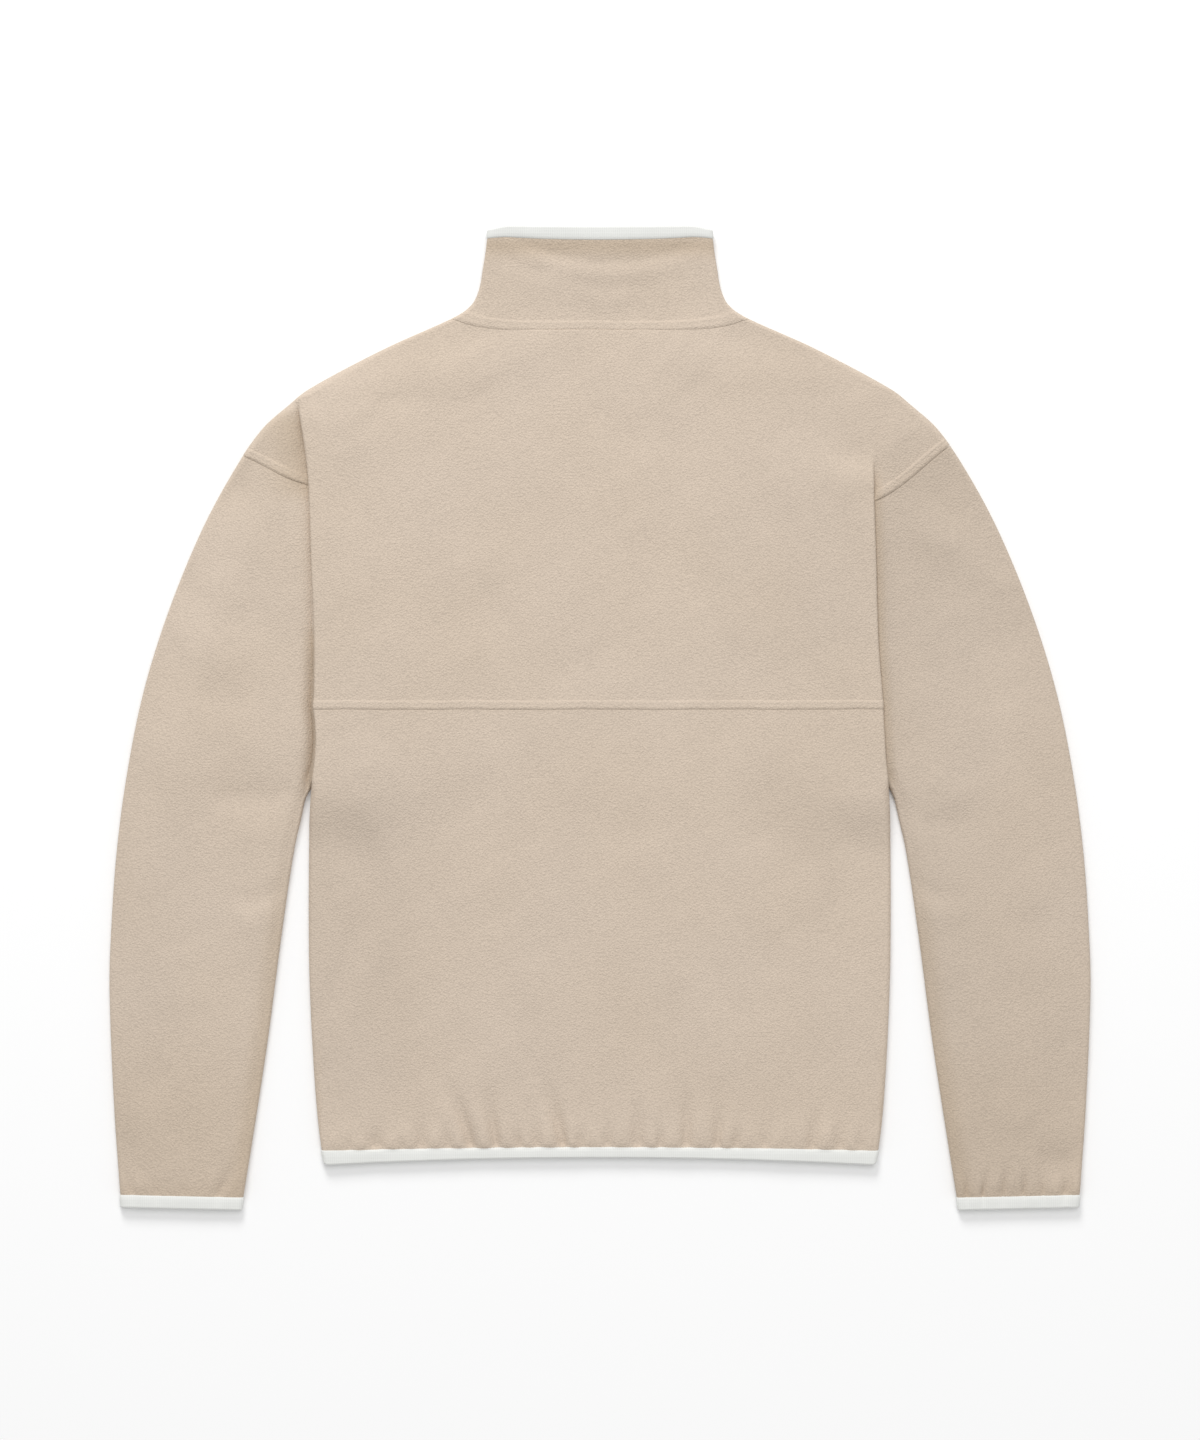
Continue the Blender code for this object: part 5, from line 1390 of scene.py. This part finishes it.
def build_studio():
    link = bpy.context.scene.collection.objects.link
    camera = bpy.data.objects.new("camera", bpy.data.cameras.new("camera"))
    link(camera)
    camera.location = (0.0, CAMERA_Y, CAMERA_UP)
    camera.data.sensor_width = SENSOR
    camera.data.lens = SENSOR * CAMERA_UP / (PHOTO_HEIGHT * PIXEL)
    camera.data.clip_start, camera.data.clip_end = 0.1, 100
    bpy.context.scene.camera = camera

    mesh = bpy.data.meshes.new("floor")
    mesh.from_pydata([(x * FLOOR_HALF, y * FLOOR_HALF, 0) for x, y in SQUARE], [], [(0, 1, 2, 3)])
    floor = bpy.data.objects.new("floor", mesh)
    mesh.materials.append(floor_material())
    link(floor)

    for name, place, size, power in (("key", (1.2, 2.6, 7.0), 5.0, 150.0), ("low", (-0.8, 4.12, 2.75), 2.0, 130.0)):
        lamp = bpy.data.lights.new(name, "AREA")
        lamp.shape, lamp.size, lamp.energy = "DISK", size, power
        holder = bpy.data.objects.new(name, lamp)
        holder.location = place
        holder.rotation_euler = (-Vector(place)).to_track_quat("-Z", "Y").to_euler()
        link(holder)

    world = bpy.data.worlds.new("studio")
    bpy.context.scene.world = world
    world.use_nodes = True
    sky = world.node_tree.nodes["Background"]
    sky.inputs["Color"].default_value = (1.0, 1.0, 1.0, 1)
    sky.inputs["Strength"].default_value = DAYLIGHT
    bpy.context.scene.view_settings.view_transform = "Standard"


# ---- everything together
THREAD_ENDS, THREAD_STOPS = (0.004, 0.003), 30  # the armhole's topstitching stops short of the seam's ends
OVERHEAD = 0.1  # well above the cloth


def seam_threads(yoke):
    """Lines of topstitching: through the bands beside the yoke seam, the neck seam and the armhole seams."""
    across = spread(0, 1, YOKE_COLUMNS)
    lift = float(relief(STITCH_LINE))
    row = Row(BACK, YOKE[LEFT] + STITCH_LINE, YOKE[RIGHT] + STITCH_LINE, across, lift, folded=True)
    neck = collar_ring(NECK + SEAM_AIR + STITCH_LINE, lift)[: COLLAR_BACK_COLUMNS + 1]
    lines = {"yoke_topstitch": settle(row.flat()), "neck_topstitch": settle(neck)}
    for line in lines.values():
        line[:, 2] += CLOTH / 2
    cloth = BVHTree.FromObject(yoke, bpy.context.evaluated_depsgraph_get())
    for side, name in ((LEFT, "armhole_topstitch_left"), (RIGHT, "armhole_topstitch_right")):
        start, way, length = seam_line(side)
        upwards = np.array([-way[1], way[0]]) * (1 if way[0] > 0 else -1) * STITCH_LINE
        stops = spread(THREAD_ENDS[0], length - THREAD_ENDS[1], THREAD_STOPS)
        place = start + way * stops[:, None] + upwards
        settled = settle(points(place[:, 0], place[:, 1], GROUND))
        line = []
        for x, y, _ in settled.tolist():
            hit = cloth.ray_cast((x, y, OVERHEAD), (0, 0, -1))[0]
            if hit is not None:
                line.append(hit[:])
        lines[name] = np.array(line)
    return lines


def build():
    build_studio()
    fleece, elastic = fleece_material(), binding_material()
    yoke = build_yoke(fleece)
    lower = build_lower_back(fleece)
    front = build_front(fleece)
    sleeve_left, sleeve_right = (
        build_sleeve(name, side, fleece) for side, name in ((LEFT, "sleeve_tube_left"), (RIGHT, "sleeve_tube_right"))
    )
    collar = build_collar(fleece)
    bound_edges = build_bindings(elastic)
    hem, cuff_left, cuff_right, neck = (piece for piece, _ in bound_edges)
    cream = thread_material("cream_thread", THREAD_COLOUR)
    matching = thread_material("fleece_thread", SEAM_THREAD_COLOUR)
    for (piece, lines), name in zip(bound_edges, ("hem", "cuff_left", "cuff_right", "collar")):
        stitches(f"{name}_stitching", lines, cream)
    for name, line in seam_threads(yoke).items():
        stitches(name, [line], matching, length=0.0026, space=0.0010, thick=0.00034)

    for piece, node, material, flat, area, rests in (
        (front, "front", "fleece", (0.70, 0.69), 0.322, ()),
        (lower, "lower_back", "fleece", (0.55, 0.37), 0.1725, (front,)),
        (yoke, "back_yoke", "fleece", (0.70, 0.32), 0.157, (front,)),
        (sleeve_left, "sleeve_left", "fleece", (0.41, 0.61), 0.160, ()),
        (sleeve_right, "sleeve_right", "fleece", (0.41, 0.61), 0.160, ()),
        (collar, "collar", "fleece", (0.44, 0.10), 0.0345, ()),
        (hem, "hem_binding", "binding", (0.0245, 0.91), None, ()),
        (cuff_left, "cuff_binding_left", "binding", (0.0245, 0.205), None, ()),
        (cuff_right, "cuff_binding_right", "binding", (0.0245, 0.205), None, ()),
        (neck, "collar_binding", "binding", (0.021, 0.38), None, ()),
    ):
        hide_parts(node)


build()
